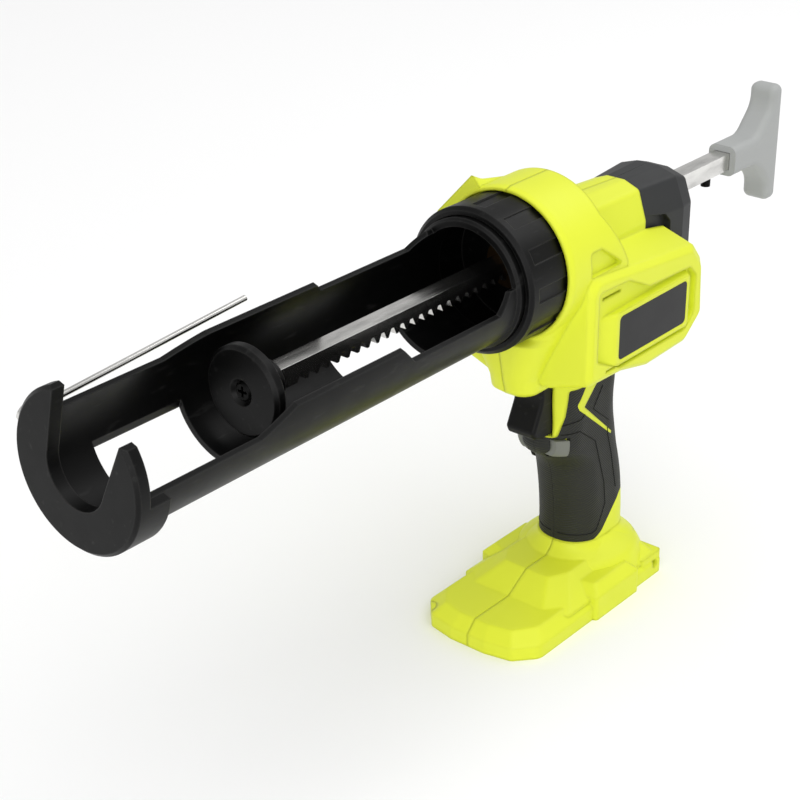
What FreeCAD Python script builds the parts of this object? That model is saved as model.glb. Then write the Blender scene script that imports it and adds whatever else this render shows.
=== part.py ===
import FreeCAD, Part
import math
import os

import Sketcher

V = FreeCAD.Vector
doc = FreeCAD.newDocument("CaulkingTool")
sheet = doc.addObject("Spreadsheet::Sheet", "Sizes")
pieces = []


class Size:
    """A number of the sheet, or worked out from it, that keeps the expression it comes from."""

    def __init__(self, value, text):
        self.value = float(value)
        self.text = text

    def __float__(self):
        return self.value

    def __add__(self, other):
        return Size(self.value + float(other), f"({self.text} + {text_of(other)})")

    def __radd__(self, other):
        return Size(float(other) + self.value, f"({text_of(other)} + {self.text})")

    def __sub__(self, other):
        return Size(self.value - float(other), f"({self.text} - {text_of(other)})")

    def __rsub__(self, other):
        return Size(float(other) - self.value, f"({text_of(other)} - {self.text})")

    def __mul__(self, other):
        return Size(self.value * float(other), f"({self.text} * {text_of(other)})")

    def __rmul__(self, other):
        return Size(float(other) * self.value, f"({text_of(other)} * {self.text})")

    def __truediv__(self, other):
        return Size(self.value / float(other), f"({self.text} / {text_of(other)})")

    def __neg__(self):
        return Size(-self.value, f"(0 - {self.text})")


def text_of(number):
    return number.text if isinstance(number, Size) else repr(float(number))


def size(alias, value):
    """Writes one driving dimension to the sheet and hands it back."""
    row = size.count = size.count + 1
    sheet.set(f"A{row}", alias)
    sheet.set(f"B{row}", str(value))
    sheet.setAlias(f"B{row}", alias)
    return Size(value, f"Sizes.{alias}")


size.count = 0

# Driving dimensions in millimetres: X runs forward to the nozzle, Y to the user's left, Z up from the foot

# Push rod with its rack, plunger and pull handle
axis_height = size("axis_height", 193)
rod_width = size("rod_width", 9)
rod_rear = size("rod_rear", -192)
rod_socket_depth = size("rod_socket_depth", 9)
rack_module = size("rack_module", 2)
rack_addendum = size("rack_addendum", 1.6)
rack_dedendum = size("rack_dedendum", 1.9)
rack_slope = size("rack_slope", 0.4663)
rack_backlash = size("rack_backlash", 0.3)
rack_gaps_ahead = 28
rack_gaps_behind = 11
slide_fit = size("slide_fit", 0.08)
plunger_front = size("plunger_front", 207)
plunger_radius = size("plunger_radius", 19.5)
plunger_rim = size("plunger_rim", 6.5)
plunger_hub_radius = size("plunger_hub_radius", 9)
plunger_hub_length = size("plunger_hub_length", 16)
screw_head_radius = size("screw_head_radius", 4.2)
screw_head_depth = size("screw_head_depth", 2.6)
screw_shank_radius = size("screw_shank_radius", 2)
screw_length = size("screw_length", 20)
screw_fit = size("screw_fit", 0.05)
pull_bar_rear = size("pull_bar_rear", -199)
pull_bar_thickness = size("pull_bar_thickness", 10)
pull_bar_height = size("pull_bar_height", 64)
pull_width = size("pull_width", 16)
pull_sleeve_front = size("pull_sleeve_front", -152)
pull_sleeve_height = size("pull_sleeve_height", 16)
pull_flare = size("pull_flare", 13)
pull_round = size("pull_round", 4)
stop_pin_x = size("stop_pin_x", -137)
stop_pin_radius = size("stop_pin_radius", 2.5)
stop_pin_drop = size("stop_pin_drop", 5.5)
set_screw_x = size("set_screw_x", -172)
set_screw_radius = size("set_screw_radius", 1.5)

# Carriage that holds the cartridge, its collar and its nose
collar_front = size("collar_front", 62)
collar_length = size("collar_length", 28)
collar_radius = size("collar_radius", 34.5)
collar_lip = size("collar_lip", 7)
collar_groove_depth = size("collar_groove_depth", 0.8)
collar_groove_width = size("collar_groove_width", 7)
collar_groove_count = 12
trough_radius = size("trough_radius", 29)
trough_wall = size("trough_wall", 2.5)
trough_roll = size("trough_roll", -19.3)
trough_low_rim = size("trough_low_rim", 5.3)
trough_high_rim = size("trough_high_rim", 12)
trough_side_front = size("trough_side_front", 205)
trough_side_rear = size("trough_side_rear", 138)
neck_ring_wall = size("neck_ring_wall", 4)
neck_ring_front = size("neck_ring_front", 66)
neck_gusset = size("neck_gusset", 11)
flange_radius = size("flange_radius", 32.6)
flange_thickness = size("flange_thickness", 4)
turn_gap = size("turn_gap", 0.3)
window_front_start = size("window_front_start", 215.5)
window_front_width = size("window_front_width", 43)
window_rear_start = size("window_rear_start", 87.5)
window_rear_width = size("window_rear_width", 30)
window_length = size("window_length", 46.5)
nose_front = size("nose_front", 292)
nose_depth = size("nose_depth", 16)
nose_plate = size("nose_plate", 6)
nose_radius = size("nose_radius", 33.3)
nose_notch_radius = size("nose_notch_radius", 15.3)
nose_notch_flare = size("nose_notch_flare", 4)
nose_arm_height = size("nose_arm_height", 26)
wire_radius = size("wire_radius", 1.3)
wire_length = size("wire_length", 112)
wire_eye_radius = size("wire_eye_radius", 3.2)
wire_lift = size("wire_lift", 5.5)
wire_pivot_height = size("wire_pivot_height", -1)
wire_pivot_back = size("wire_pivot_back", 8)
wire_stand_off = size("wire_stand_off", 0.6)
wire_pin_radius = size("wire_pin_radius", 1.5)
wire_pin_head = size("wire_pin_head", 2.8)

# Drive under the rod: rack pinion, output gear pair, gearbox and motor on cross axes
pinion_x = size("pinion_x", -2)
pinion_teeth = 10
pinion_width = size("pinion_width", 8)
pinion_shaft_radius = size("pinion_shaft_radius", 4)
output_module = size("output_module", 1.25)
output_gear_teeth = 32
output_pinion_teeth = 14
output_gear_side = size("output_gear_side", -5)
output_gear_width = size("output_gear_width", 6)
motor_drop_angle = size("motor_drop_angle", 31.5)
gear_backlash = size("gear_backlash", 0.2)
gearbox_radius = size("gearbox_radius", 15.5)
gearbox_length = size("gearbox_length", 14)
motor_radius = size("motor_radius", 14.5)
motor_length = size("motor_length", 24)
motor_vent = size("motor_vent", 4)
gearbox_face = size("gearbox_face", -4)
gearbox_shaft_radius = size("gearbox_shaft_radius", 3)
case_half_width = size("case_half_width", 14.5)
case_rear = size("case_rear", -34)
case_top = size("case_top", 9)
case_bottom = size("case_bottom", 28)
case_round = size("case_round", 3)
bush_wall = size("bush_wall", 2)
gear_room = size("gear_room", 0.8)
running_fit = size("running_fit", 0.05)
guide_radius = size("guide_radius", 12)
guide_length = size("guide_length", 10)
guide_rear_length = size("guide_rear_length", 8)
spigot_wall = size("spigot_wall", 4)
spigot_rear = size("spigot_rear", 24)
spigot_web = size("spigot_web", 8)
spigot_flange = size("spigot_flange", 4)
spigot_flange_radius = size("spigot_flange_radius", 34.3)

# Housing shells
parting_gap = size("parting_gap", 0.2)
wall = size("wall", 2.6)
edge_round = size("edge_round", 1)
overcut = size("overcut", 1)
shroud_front = size("shroud_front", 36.5)
shroud_chamfer = size("shroud_chamfer", 3)
shroud_radius = size("shroud_radius", 37.2)
guard_radius = size("guard_radius", 43.5)
guard_rear = size("guard_rear", 14)
guard_start = size("guard_start", 27)
guard_end = size("guard_end", 68)
guard_lead = size("guard_lead", 3)
guard_run = size("guard_run", 6)
shroud_lip = size("shroud_lip", 1.2)
shroud_top_rear = size("shroud_top_rear", 5)
tail_rear = size("tail_rear", -9)
tail_height = size("tail_height", 190)
tail_shoulder = size("tail_shoulder", 215)
tail_pocket = size("tail_pocket", 3)
tail_lift = size("tail_lift", 0.5)
tail_round = size("tail_round", 2)
collar_seat = size("collar_seat", 0.5)
neck_top = size("neck_top", 17.8)
neck_half_width = size("neck_half_width", 18.2)
neck_crown = size("neck_crown", 5)
neck_flat = size("neck_flat", 13.5)
neck_eave = size("neck_eave", 14.5)
neck_shoulder = size("neck_shoulder", -0.3)
neck_growth = size("neck_growth", 1.18)
neck_round = size("neck_round", 3)
bulge_half_width = size("bulge_half_width", 40)
bulge_root = size("bulge_root", 18)
bulge_front = size("bulge_front", 23.5)
bulge_rear = size("bulge_rear", -73.8)
bulge_top = size("bulge_top", 190)
bulge_bottom = size("bulge_bottom", 131.5)
bulge_top_fall = size("bulge_top_fall", 8.5)
bulge_bottom_rise = size("bulge_bottom_rise", 6)
bulge_flare = size("bulge_flare", 6)
bulge_front_flare = size("bulge_front_flare", 2.5)
bulge_edge = size("bulge_edge", 2.5)
bulge_round = size("bulge_round", 4)
recess_depth = size("recess_depth", 3.5)
recess_round = size("recess_round", 2.5)
recess_bend = size("recess_bend", 4)
recess_front = size("recess_front", 6)
recess_rear = size("recess_rear", 8)
recess_top = size("recess_top", 7)
recess_bottom = size("recess_bottom", 8)
recess_step = size("recess_step", 9.5)
recess_fall = size("recess_fall", 11)
recess_bevel = size("recess_bevel", 6)
recess_corner = size("recess_corner", 7)
recess_chin = size("recess_chin", 9)
recess_toe = size("recess_toe", 2)
platform_draft = size("platform_draft", 2)
platform_ramp = size("platform_ramp", 8)
platform_rise = size("platform_rise", 0.3)
platform_sink = size("platform_sink", 0.5)
badge_front = size("badge_front", 0.5)
badge_length = size("badge_length", 57.5)
badge_bottom = size("badge_bottom", 144)
badge_height = size("badge_height", 22)
badge_thickness = size("badge_thickness", 0.8)
badge_margin = size("badge_margin", 2.5)
vent_length = size("vent_length", 14.7)
vent_width = size("vent_width", 1.3)
vent_drop = size("vent_drop", 5.5)
lobe_front = size("lobe_front", 41)
lobe_chin = size("lobe_chin", 36.5)
lobe_bottom = size("lobe_bottom", 125.5)
lobe_top = size("lobe_top", 160)
lobe_rear = size("lobe_rear", -12)
lobe_half_width = size("lobe_half_width", 13)
lobe_round = size("lobe_round", 6)
rear_cover_front = size("rear_cover_front", -52)
rear_cover_shoulder = size("rear_cover_shoulder", -80)
rear_cover_rear = size("rear_cover_rear", -89)
rear_cover_bottom = size("rear_cover_bottom", 138)
rear_cover_half_width = size("rear_cover_half_width", 22)
rear_cover_round = size("rear_cover_round", 3)
cover_pocket_depth = size("cover_pocket_depth", 5)
cover_pocket_wall = size("cover_pocket_wall", 2)
cover_pocket_low = size("cover_pocket_low", 17)
cover_pocket_bevel = size("cover_pocket_bevel", 4)
cover_pocket_sink = size("cover_pocket_sink", 0.5)

# Handle, grip skin and foot: levels up the handle with its front and rear there
handle_top = size("handle_top", 127)
handle_top_front = size("handle_top_front", 10)
handle_top_rear = size("handle_top_rear", -45)
handle_lip = size("handle_lip", 112)
handle_lip_front = size("handle_lip_front", 10)
handle_lip_rear = size("handle_lip_rear", -44)
handle_ledge = size("handle_ledge", 95)
handle_ledge_front = size("handle_ledge_front", 9.5)
handle_ledge_rear = size("handle_ledge_rear", -44.3)
handle_brow = size("handle_brow", 86.5)
handle_brow_front = size("handle_brow_front", 8.5)
handle_brow_rear = size("handle_brow_rear", -46)
handle_finger = size("handle_finger", 78)
handle_finger_front = size("handle_finger_front", -1)
handle_finger_rear = size("handle_finger_rear", -47.8)
handle_waist = size("handle_waist", 66)
handle_waist_front = size("handle_waist_front", -6)
handle_waist_rear = size("handle_waist_rear", -51.2)
handle_palm = size("handle_palm", 50)
handle_palm_front = size("handle_palm_front", -8.5)
handle_palm_rear = size("handle_palm_rear", -54.3)
handle_base = size("handle_base", 18)
handle_base_front = size("handle_base_front", -8.9)
handle_base_rear = size("handle_base_rear", -55.3)
handle_half_width = size("handle_half_width", 17.2)
handle_corner = size("handle_corner", 16.2)
grip_skin = size("grip_skin", 1.8)
grip_bottom = size("grip_bottom", 29)
grip_top = size("grip_top", 121)
grip_lap = size("grip_lap", 1)
grip_round = size("grip_round", 4)
grip_lip = size("grip_lip", 6.5)
grip_heel = size("grip_heel", 12)
grip_heel_low = size("grip_heel_low", 27)
grip_heel_end = size("grip_heel_end", 33)
strip_front = size("strip_front", -9.25)
strip_tip = size("strip_tip", -2)
strip_width = size("strip_width", 11)
strip_bend = size("strip_bend", 1.5)
strip_waist = size("strip_waist", 5.3)
strip_run = size("strip_run", 40)
strip_point = size("strip_point", 0.3)
strip_thin = size("strip_thin", 0.4)
foot_front = size("foot_front", 61.8)
foot_rear = size("foot_rear", -60)
foot_half_width = size("foot_half_width", 34.3)
foot_edge = size("foot_edge", 7)
foot_slab = size("foot_slab", 13)
foot_bevel = size("foot_bevel", 6)
foot_round = size("foot_round", 7)
toe_round = size("toe_round", 3)
deck_front = size("deck_front", 32)
deck_top = size("deck_top", 22)
deck_slope = size("deck_slope", 18)
deck_side = size("deck_side", 14)
base_flare = size("base_flare", 8)
flare_sink = size("flare_sink", 2)
flare_lip = size("flare_lip", 0.4)
flare_gap = size("flare_gap", 0.5)
pad_half_width = size("pad_half_width", 36.5)
pad_front = size("pad_front", 8)
pad_rear = size("pad_rear", -39)
pad_height = size("pad_height", 18)
pad_bevel = size("pad_bevel", 5)
pad_round = size("pad_round", 2)
lug_front = size("lug_front", -42)
lug_height = size("lug_height", 12)
lug_setback = size("lug_setback", 1)
lanyard_x = size("lanyard_x", -53)
lanyard_z = size("lanyard_z", 6)
lanyard_radius = size("lanyard_radius", 2)
lanyard_inset = size("lanyard_inset", 6)
socket_front = size("socket_front", 46)
socket_rear = size("socket_rear", -48)
socket_half_width = size("socket_half_width", 27)
socket_depth = size("socket_depth", 8)
post_front = size("post_front", -15)
post_rear = size("post_rear", -45.5)
post_half_width = size("post_half_width", 11.5)
post_round = size("post_round", 8)
post_depth = size("post_depth", 66)
terminal_height = size("terminal_height", 7)
blade_length = size("blade_length", 14)
blade_thickness = size("blade_thickness", 0.8)

# Trigger, lock-off button, switch and case screws
trigger_front = size("trigger_front", 22.5)
trigger_rear = size("trigger_rear", 1.5)
trigger_top = size("trigger_top", 131)
trigger_bottom = size("trigger_bottom", 97)
trigger_half_width = size("trigger_half_width", 8.5)
trigger_round = size("trigger_round", 2.5)
trigger_curve = size("trigger_curve", 12)
trigger_stem_radius = size("trigger_stem_radius", 2.5)
trigger_stem_length = size("trigger_stem_length", 16)
trigger_stem_height = size("trigger_stem_height", 110)
trigger_travel = size("trigger_travel", 7)
trigger_gap = size("trigger_gap", 0.4)
switch_front = size("switch_front", -8.5)
switch_length = size("switch_length", 22)
switch_half_width = size("switch_half_width", 9)
switch_bottom = size("switch_bottom", 98)
switch_height = size("switch_height", 22)
button_x = size("button_x", 4.5)
button_z = size("button_z", 90)
button_length = size("button_length", 5.2)
button_height = size("button_height", 9)
button_proud = size("button_proud", 0.8)
button_frame = size("button_frame", 5)
button_rest = size("button_rest", -2.5)
button_gap = size("button_gap", 0.3)
case_screw_seat = size("case_screw_seat", 14)
case_screw_head_radius = size("case_screw_head_radius", 3.2)
case_screw_head_depth = size("case_screw_head_depth", 2.4)
case_screw_shank_radius = size("case_screw_shank_radius", 1.7)
case_screw_length = size("case_screw_length", 20)
case_screw_boss = size("case_screw_boss", 4.4)
bulge_screw_in = size("bulge_screw_in", 7.5)
bulge_screw_up = size("bulge_screw_up", 18.5)
cover_screw_in = size("cover_screw_in", 7)
cover_screw_up = size("cover_screw_up", 6.5)
lip_screw_in = size("lip_screw_in", 7)
lip_screw_drop = size("lip_screw_drop", 4)
finger_screw_in = size("finger_screw_in", 12)
finger_screw_drop = size("finger_screw_drop", 4.5)
toe_screw_in = size("toe_screw_in", 9)
heel_screw_in = size("heel_screw_in", 4)
heel_screw_up = size("heel_screw_up", 3)

doc.recompute()

# How close a point lies to a face that it belongs to
touch = 0.01

half_rod = rod_width / 2
rod_front = plunger_front - rod_socket_depth
rack_pitch = rack_module * math.pi
rack_pitch_line = -half_rod + rack_addendum
pinion_radius = rack_module * pinion_teeth / 2
pinion_z = axis_height + rack_pitch_line - pinion_radius
output_spacing = output_module * ((output_gear_teeth + output_pinion_teeth) / 2)
motor_x = float(pinion_x) - float(output_spacing) * math.cos(math.radians(float(motor_drop_angle)))
motor_z = float(pinion_z) - float(output_spacing) * math.sin(math.radians(float(motor_drop_angle)))
trough_inner = trough_radius - trough_wall
collar_rear = collar_front - collar_length
flange_front = collar_front - collar_lip - turn_gap
flange_rear = flange_front - flange_thickness
spigot_front = flange_rear - turn_gap
spigot_radius = flange_radius - turn_gap
neck_ring_radius = trough_inner + neck_ring_wall
trough_front = nose_front - nose_plate


# Helpers for sketches, features and shapes

def bind(item, prop, value):
    """Sets a property by an expression of the sheet, or plainly when it is a bare number."""
    if isinstance(value, Size):
        item.setExpression(prop, value.text)
    else:
        setattr(item, prop, float(value))


def new_body(label):
    body = doc.addObject("PartDesign::Body", label)
    body.Label = label
    pieces.append(body)
    return body


def move(item, x=0, y=0, z=0, axis=V(1, 0, 0), angle=0):
    """Places a piece, turned about an axis through its own origin."""
    item.Placement = FreeCAD.Placement(V(float(x), float(y), float(z)),
                                       FreeCAD.Rotation(axis, float(angle)))
    for letter, value in (("x", x), ("y", y), ("z", z)):
        if isinstance(value, Size):
            item.setExpression(f"Placement.Base.{letter}", value.text)
    if isinstance(angle, Size):
        item.setExpression("Placement.Rotation.Angle", angle.text)


def new_sketch(body, role, offset=0):
    sketch = body.newObject("Sketcher::SketchObject", "Sketch")
    plane = [item for item in body.Origin.OriginFeatures if item.Role == role][0]
    sketch.AttachmentSupport = (plane, [""])
    sketch.MapMode = "FlatFace"
    sketch.AttachmentOffset = FreeCAD.Placement(V(0, 0, float(offset)), FreeCAD.Rotation())
    if isinstance(offset, Size):
        sketch.setExpression("AttachmentOffset.Base.z", offset.text)
    return sketch


def hold_point(sketch, edge, end, x, y):
    """Ties one point of a sketch to its distances from the sketch origin."""
    for kind, value, axis in (("DistanceX", x, -2), ("DistanceY", y, -1)):
        if not isinstance(value, Size) and value == 0:
            sketch.addConstraint(Sketcher.Constraint("PointOnObject", edge, end, axis))
            continue
        index = sketch.addConstraint(Sketcher.Constraint(kind, -1, 1, edge, end, float(value)))
        if isinstance(value, Size):
            sketch.setExpression(f"Constraints[{index}]", value.text)


def draw_outline(sketch, points):
    """Closed outline of straight edges, every corner held by the sheet."""
    first = sketch.GeometryCount
    count = len(points)
    for index, (x, y) in enumerate(points):
        next_x, next_y = points[(index + 1) % count]
        start = V(float(x), float(y), 0)
        end = V(float(next_x), float(next_y), 0)
        sketch.addGeometry(Part.LineSegment(start, end))
    for index, (x, y) in enumerate(points):
        after = first + (index + 1) % count
        sketch.addConstraint(Sketcher.Constraint("Coincident", first + index, 2, after, 1))
        hold_point(sketch, first + index, 1, x, y)


def draw_circle(sketch, radius, x=0, y=0):
    circle = Part.Circle(V(float(x), float(y), 0), V(0, 0, 1), float(radius))
    edge = sketch.addGeometry(circle)
    hold_point(sketch, edge, 3, x, y)
    index = sketch.addConstraint(Sketcher.Constraint("Radius", edge, float(radius)))
    if isinstance(radius, Size):
        sketch.setExpression(f"Constraints[{index}]", radius.text)


def box_points(x_low, x_high, y_low, y_high):
    return [(x_low, y_low), (x_high, y_low), (x_high, y_high), (x_low, y_high)]


def pad(body, sketch, length, both_sides=False, reverse=False):
    feature = body.newObject("PartDesign::Pad", "Pad")
    feature.Profile = sketch
    feature.SideType = "Symmetric" if both_sides else "One side"
    feature.Reversed = reverse
    bind(feature, "Length", length)
    doc.recompute()
    return feature


def pocket(body, sketch, length=None, both_sides=False, reverse=False):
    """Cuts a sketch out of a body and checks that it took material away."""
    before = body.Shape.Volume
    feature = body.newObject("PartDesign::Pocket", "Pocket")
    feature.Profile = sketch
    feature.SideType = "Symmetric" if both_sides else "One side"
    feature.Reversed = reverse
    if length is None:
        feature.Type = "ThroughAll"
    else:
        bind(feature, "Length", length)
    doc.recompute()
    if not body.Shape.Volume < before:
        raise RuntimeError(f"a pocket of {body.Label} cuts nothing")
    return feature


def revolve(body, sketch, axis="H_Axis", angle=360, both_sides=False):
    feature = body.newObject("PartDesign::Revolution", "Revolution")
    feature.Profile = sketch
    feature.ReferenceAxis = (sketch, [axis])
    feature.Midplane = both_sides
    bind(feature, "Angle", angle)
    doc.recompute()
    return feature


def round_edges(body, base, radius, wanted):
    """Rounds the edges of a feature that a test on the edge picks out."""
    names = [f"Edge{index + 1}" for index, edge in enumerate(base.Shape.Edges) if wanted(edge)]
    feature = body.newObject("PartDesign::Fillet", "Fillet")
    feature.Base = (base, names)
    bind(feature, "Radius", radius)
    doc.recompute()
    return feature


def turned_piece(label, outline, x=0, y=0, z=0, axis=V(1, 0, 0), angle=0):
    """A body of revolution about its own X axis, from (along, radius) corners."""
    body = new_body(label)
    sketch = new_sketch(body, "XZ_Plane")
    draw_outline(sketch, outline)
    revolve(body, sketch)
    move(body, x, y, z, axis, angle)
    return body


def shape_piece(label, shape, x=0, y=0, z=0, axis=V(1, 0, 0), angle=0):
    """A piece whose form is worked out directly from the sheet's sizes."""
    feature = doc.addObject("Part::Feature", label)
    feature.Label = label
    feature.Shape = shape
    move(feature, x, y, z, axis, angle)
    pieces.append(feature)
    return feature


def rod_piece(label, radius, length, x, y, z, axis=V(1, 0, 0), angle=0):
    cylinder = doc.addObject("Part::Cylinder", label)
    cylinder.Label = label
    bind(cylinder, "Radius", radius)
    bind(cylinder, "Height", length)
    move(cylinder, x, y, z, axis, angle)
    pieces.append(cylinder)
    return cylinder


def across_x(x):
    """Puts an outline of (Y, Z) points in the plane at X."""
    return lambda point: V(float(x), point.x, point.y)


def across_y(y):
    """Puts an outline of (X, Z) points in the plane at Y."""
    return lambda point: V(point.x, float(y), point.y)


def flat_z(z):
    """Puts an outline of (Y, X) points in the plane at Z."""
    return lambda point: V(point.y, point.x, float(z))


def rounded_wire(corners, place):
    """Closed wire through (u, v, radius) corners, each rounded by an arc."""
    points = [V(float(u), float(v), 0) for u, v, _ in corners]
    count = len(corners)
    stretches = []
    for index, here in enumerate(points):
        radius = float(corners[index][2])
        to_last = (points[index - 1] - here).normalize()
        to_next = (points[(index + 1) % count] - here).normalize()
        half_angle = to_last.getAngle(to_next) / 2
        run = radius / math.tan(half_angle)
        middle = (to_last + to_next).normalize() * (radius / math.sin(half_angle) - radius)
        stretches.append((here + to_last * run, here + middle, here + to_next * run))
    edges = []
    for index, (start, middle, end) in enumerate(stretches):
        edges.append(Part.Arc(place(start), place(middle), place(end)).toShape())
        following = stretches[(index + 1) % count][0]
        edges.append(Part.LineSegment(place(end), place(following)).toShape())
    return Part.Wire(edges)


def mirrored(half):
    """Adds the other side of an outline given for positive u."""
    return list(half) + [(-u, v, radius) for u, v, radius in reversed(half)]


def prism(corners, place, x=0, y=0, z=0):
    return Part.Face(rounded_wire(corners, place)).extrude(V(float(x), float(y), float(z)))


def loft(wires, smooth=False):
    """Solid through a row of outlines; smooth ones are kept to a low degree so that they do not swing."""
    degree = 2
    return Part.makeLoft(wires, True, not smooth, False, degree)


def both_sides(shape):
    """A form on the left side together with its mirror image on the right."""
    return shape.fuse(shape.mirror(V(0, 0, 0), V(0, 1, 0)))


def joined(shapes):
    return shapes[0].multiFuse(shapes[1:])


def block(x_low, x_high, y_low, y_high, z_low, z_high):
    corner = V(float(x_low), float(y_low), float(z_low))
    return Part.makeBox(float(x_high) - float(x_low), float(y_high) - float(y_low),
                        float(z_high) - float(z_low), corner)


def cylinder_y(radius, x, z, y_low, y_high):
    return Part.makeCylinder(float(radius), float(y_high) - float(y_low),
                             V(float(x), float(y_low), float(z)), V(0, 1, 0))


def cylinder_x(radius, x_low, x_high, y=0, z=axis_height):
    return Part.makeCylinder(float(radius), float(x_high) - float(x_low),
                             V(float(x_low), float(y), float(z)), V(1, 0, 0))


def halves(shape):
    """Left and right part of a shell that is split at the middle plane."""
    reach = 200
    low = -100
    high = 400
    gap = float(parting_gap) / 2
    left = shape.common(block(-reach, reach, gap, reach, low, high))
    right = shape.common(block(-reach, reach, -reach, -gap, low, high))
    return left, right


# Push rod group: rack, plunger, screw, pull handle and pins

def make_rack_rod():
    body = new_body("rack_rod")
    section = new_sketch(body, "YZ_Plane", rod_rear)
    draw_outline(section, box_points(-half_rod, half_rod, -half_rod, half_rod))
    pad(body, section, rod_front - rod_rear)
    # Screw hole in the front end
    hole = new_sketch(body, "YZ_Plane", rod_front)
    draw_circle(hole, screw_shank_radius + screw_fit)
    pocket(body, hole, screw_length)
    # Hole for the screw that holds the pull handle
    hole = new_sketch(body, "XY_Plane", -half_rod)
    draw_circle(hole, set_screw_radius + screw_fit, set_screw_x, 0)
    pocket(body, hole, half_rod, reverse=True)
    # First tooth gap behind the plunger, then the row of gaps towards the rear
    middle = pinion_x + rack_pitch * (rack_gaps_ahead + 0.5)
    half_gap = rack_pitch / 4 + rack_backlash / 2
    wide = half_gap + rack_addendum * rack_slope
    narrow = half_gap - rack_dedendum * rack_slope
    root = rack_pitch_line + rack_dedendum
    gap = new_sketch(body, "XZ_Plane")
    draw_outline(gap, [(middle - wide, -half_rod), (middle + wide, -half_rod),
                       (middle + narrow, root), (middle - narrow, root)])
    cut = pocket(body, gap, rod_width * 2, both_sides=True)
    row = body.newObject("PartDesign::LinearPattern", "ToothRow")
    row.Originals = [cut]
    row.Direction = (gap, ["H_Axis"])
    row.Reversed = True
    row.Occurrences = rack_gaps_ahead + rack_gaps_behind + 1
    bind(row, "Length", rack_pitch * (rack_gaps_ahead + rack_gaps_behind))
    body.Tip = row
    move(body, z=axis_height)


def make_plunger():
    rear = -plunger_hub_length
    bevel = plunger_rim / 4
    recess = screw_head_depth + bevel / 2
    head = screw_head_radius + screw_fit
    outline = [(0, head + bevel), (0, plunger_radius - bevel), (-bevel, plunger_radius),
               (-plunger_rim + bevel, plunger_radius), (-plunger_rim, plunger_radius - bevel),
               (-plunger_rim, plunger_hub_radius + bevel), (-plunger_rim - bevel, plunger_hub_radius),
               (rear, plunger_hub_radius), (rear, 0), (-recess, 0), (-recess, head), (-bevel, head)]
    body = turned_piece("plunger", outline, plunger_front, 0, axis_height)
    half_socket = half_rod + slide_fit
    socket = new_sketch(body, "YZ_Plane", rear)
    draw_outline(socket, box_points(-half_socket, half_socket, -half_socket, half_socket))
    pocket(body, socket, plunger_hub_length - rod_socket_depth, reverse=True)
    hole = new_sketch(body, "YZ_Plane", -recess)
    draw_circle(hole, screw_shank_radius + screw_fit)
    pocket(body, hole)


def make_plunger_screw():
    seat = plunger_front - screw_head_depth - plunger_rim / 8
    outline = [(0, 0), (screw_head_depth, 0), (screw_head_depth, screw_head_radius * 0.8),
               (screw_head_depth * 0.6, screw_head_radius), (0, screw_head_radius), (0, screw_shank_radius),
               (-screw_length * 0.8, screw_shank_radius), (-screw_length * 0.8, 0)]
    body = turned_piece("plunger_screw", outline, seat, 0, axis_height)
    slot = screw_head_radius * 0.13
    arm = screw_head_radius * 0.55
    for across, along in ((slot, arm), (arm, slot)):
        cross = new_sketch(body, "YZ_Plane", screw_head_depth)
        draw_outline(cross, box_points(-across, across, -along, along))
        pocket(body, cross, screw_head_depth * 0.6)


def make_pull_handle():
    body = new_body("pull_handle")
    half_bar = pull_bar_height / 2
    bar_front = pull_bar_rear + pull_bar_thickness
    half_sleeve = pull_sleeve_height / 2
    profile = new_sketch(body, "XZ_Plane")
    draw_outline(profile, [(pull_bar_rear, -half_bar), (bar_front, -half_bar),
                           (bar_front, -half_sleeve - pull_flare), (bar_front + pull_flare, -half_sleeve),
                           (pull_sleeve_front, -half_sleeve), (pull_sleeve_front, half_sleeve),
                           (bar_front + pull_flare, half_sleeve), (bar_front, half_sleeve + pull_flare),
                           (bar_front, half_bar), (pull_bar_rear, half_bar)])
    form = pad(body, profile, pull_width, both_sides=True)

    def is_crease(edge):
        ends = [vertex.Point for vertex in edge.Vertexes]
        along_y = abs(ends[0].y - ends[1].y) > float(pull_width) / 2
        x_near_flare = float(bar_front) - 1 < ends[0].x < float(pull_sleeve_front) - 1
        return along_y and x_near_flare and abs(ends[0].z) < float(half_bar) - 1

    soft = round_edges(body, form, pull_flare * 0.8, is_crease)
    half_width = float(pull_width) / 2

    def is_rim(edge):
        return all(abs(abs(vertex.Point.y) - half_width) < touch for vertex in edge.Vertexes)

    def is_bar_end(edge):
        return all(abs(abs(vertex.Point.z) - float(half_bar)) < touch for vertex in edge.Vertexes)

    def is_edge(edge):
        at_socket = all(abs(vertex.Point.x - float(pull_sleeve_front)) < touch for vertex in edge.Vertexes)
        return (is_rim(edge) or is_bar_end(edge)) and not at_socket

    round_edges(body, soft, pull_round, is_edge)
    half_socket = half_rod + slide_fit
    socket = new_sketch(body, "YZ_Plane", pull_sleeve_front)
    draw_outline(socket, box_points(-half_socket, half_socket, -half_socket, half_socket))
    pocket(body, socket, pull_sleeve_front - rod_rear)
    hole = new_sketch(body, "XY_Plane")
    draw_circle(hole, set_screw_radius + screw_fit, set_screw_x, 0)
    pocket(body, hole, pull_sleeve_height)
    move(body, z=axis_height)


def make_set_screw():
    """Headless screw from below, flush with the sleeve, its end in the rod."""
    half_sleeve = pull_sleeve_height / 2
    length = half_sleeve - half_rod / 4
    rod_piece("pull_set_screw", set_screw_radius, length, set_screw_x, 0, axis_height - half_sleeve)


def make_stop_pin():
    rod_piece("rack_stop_pin", stop_pin_radius, stop_pin_drop, stop_pin_x, 0,
              axis_height - half_rod - stop_pin_drop)


# Carriage group: trough with neck ring, nose cap, puncture wire and its pivot

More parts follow.
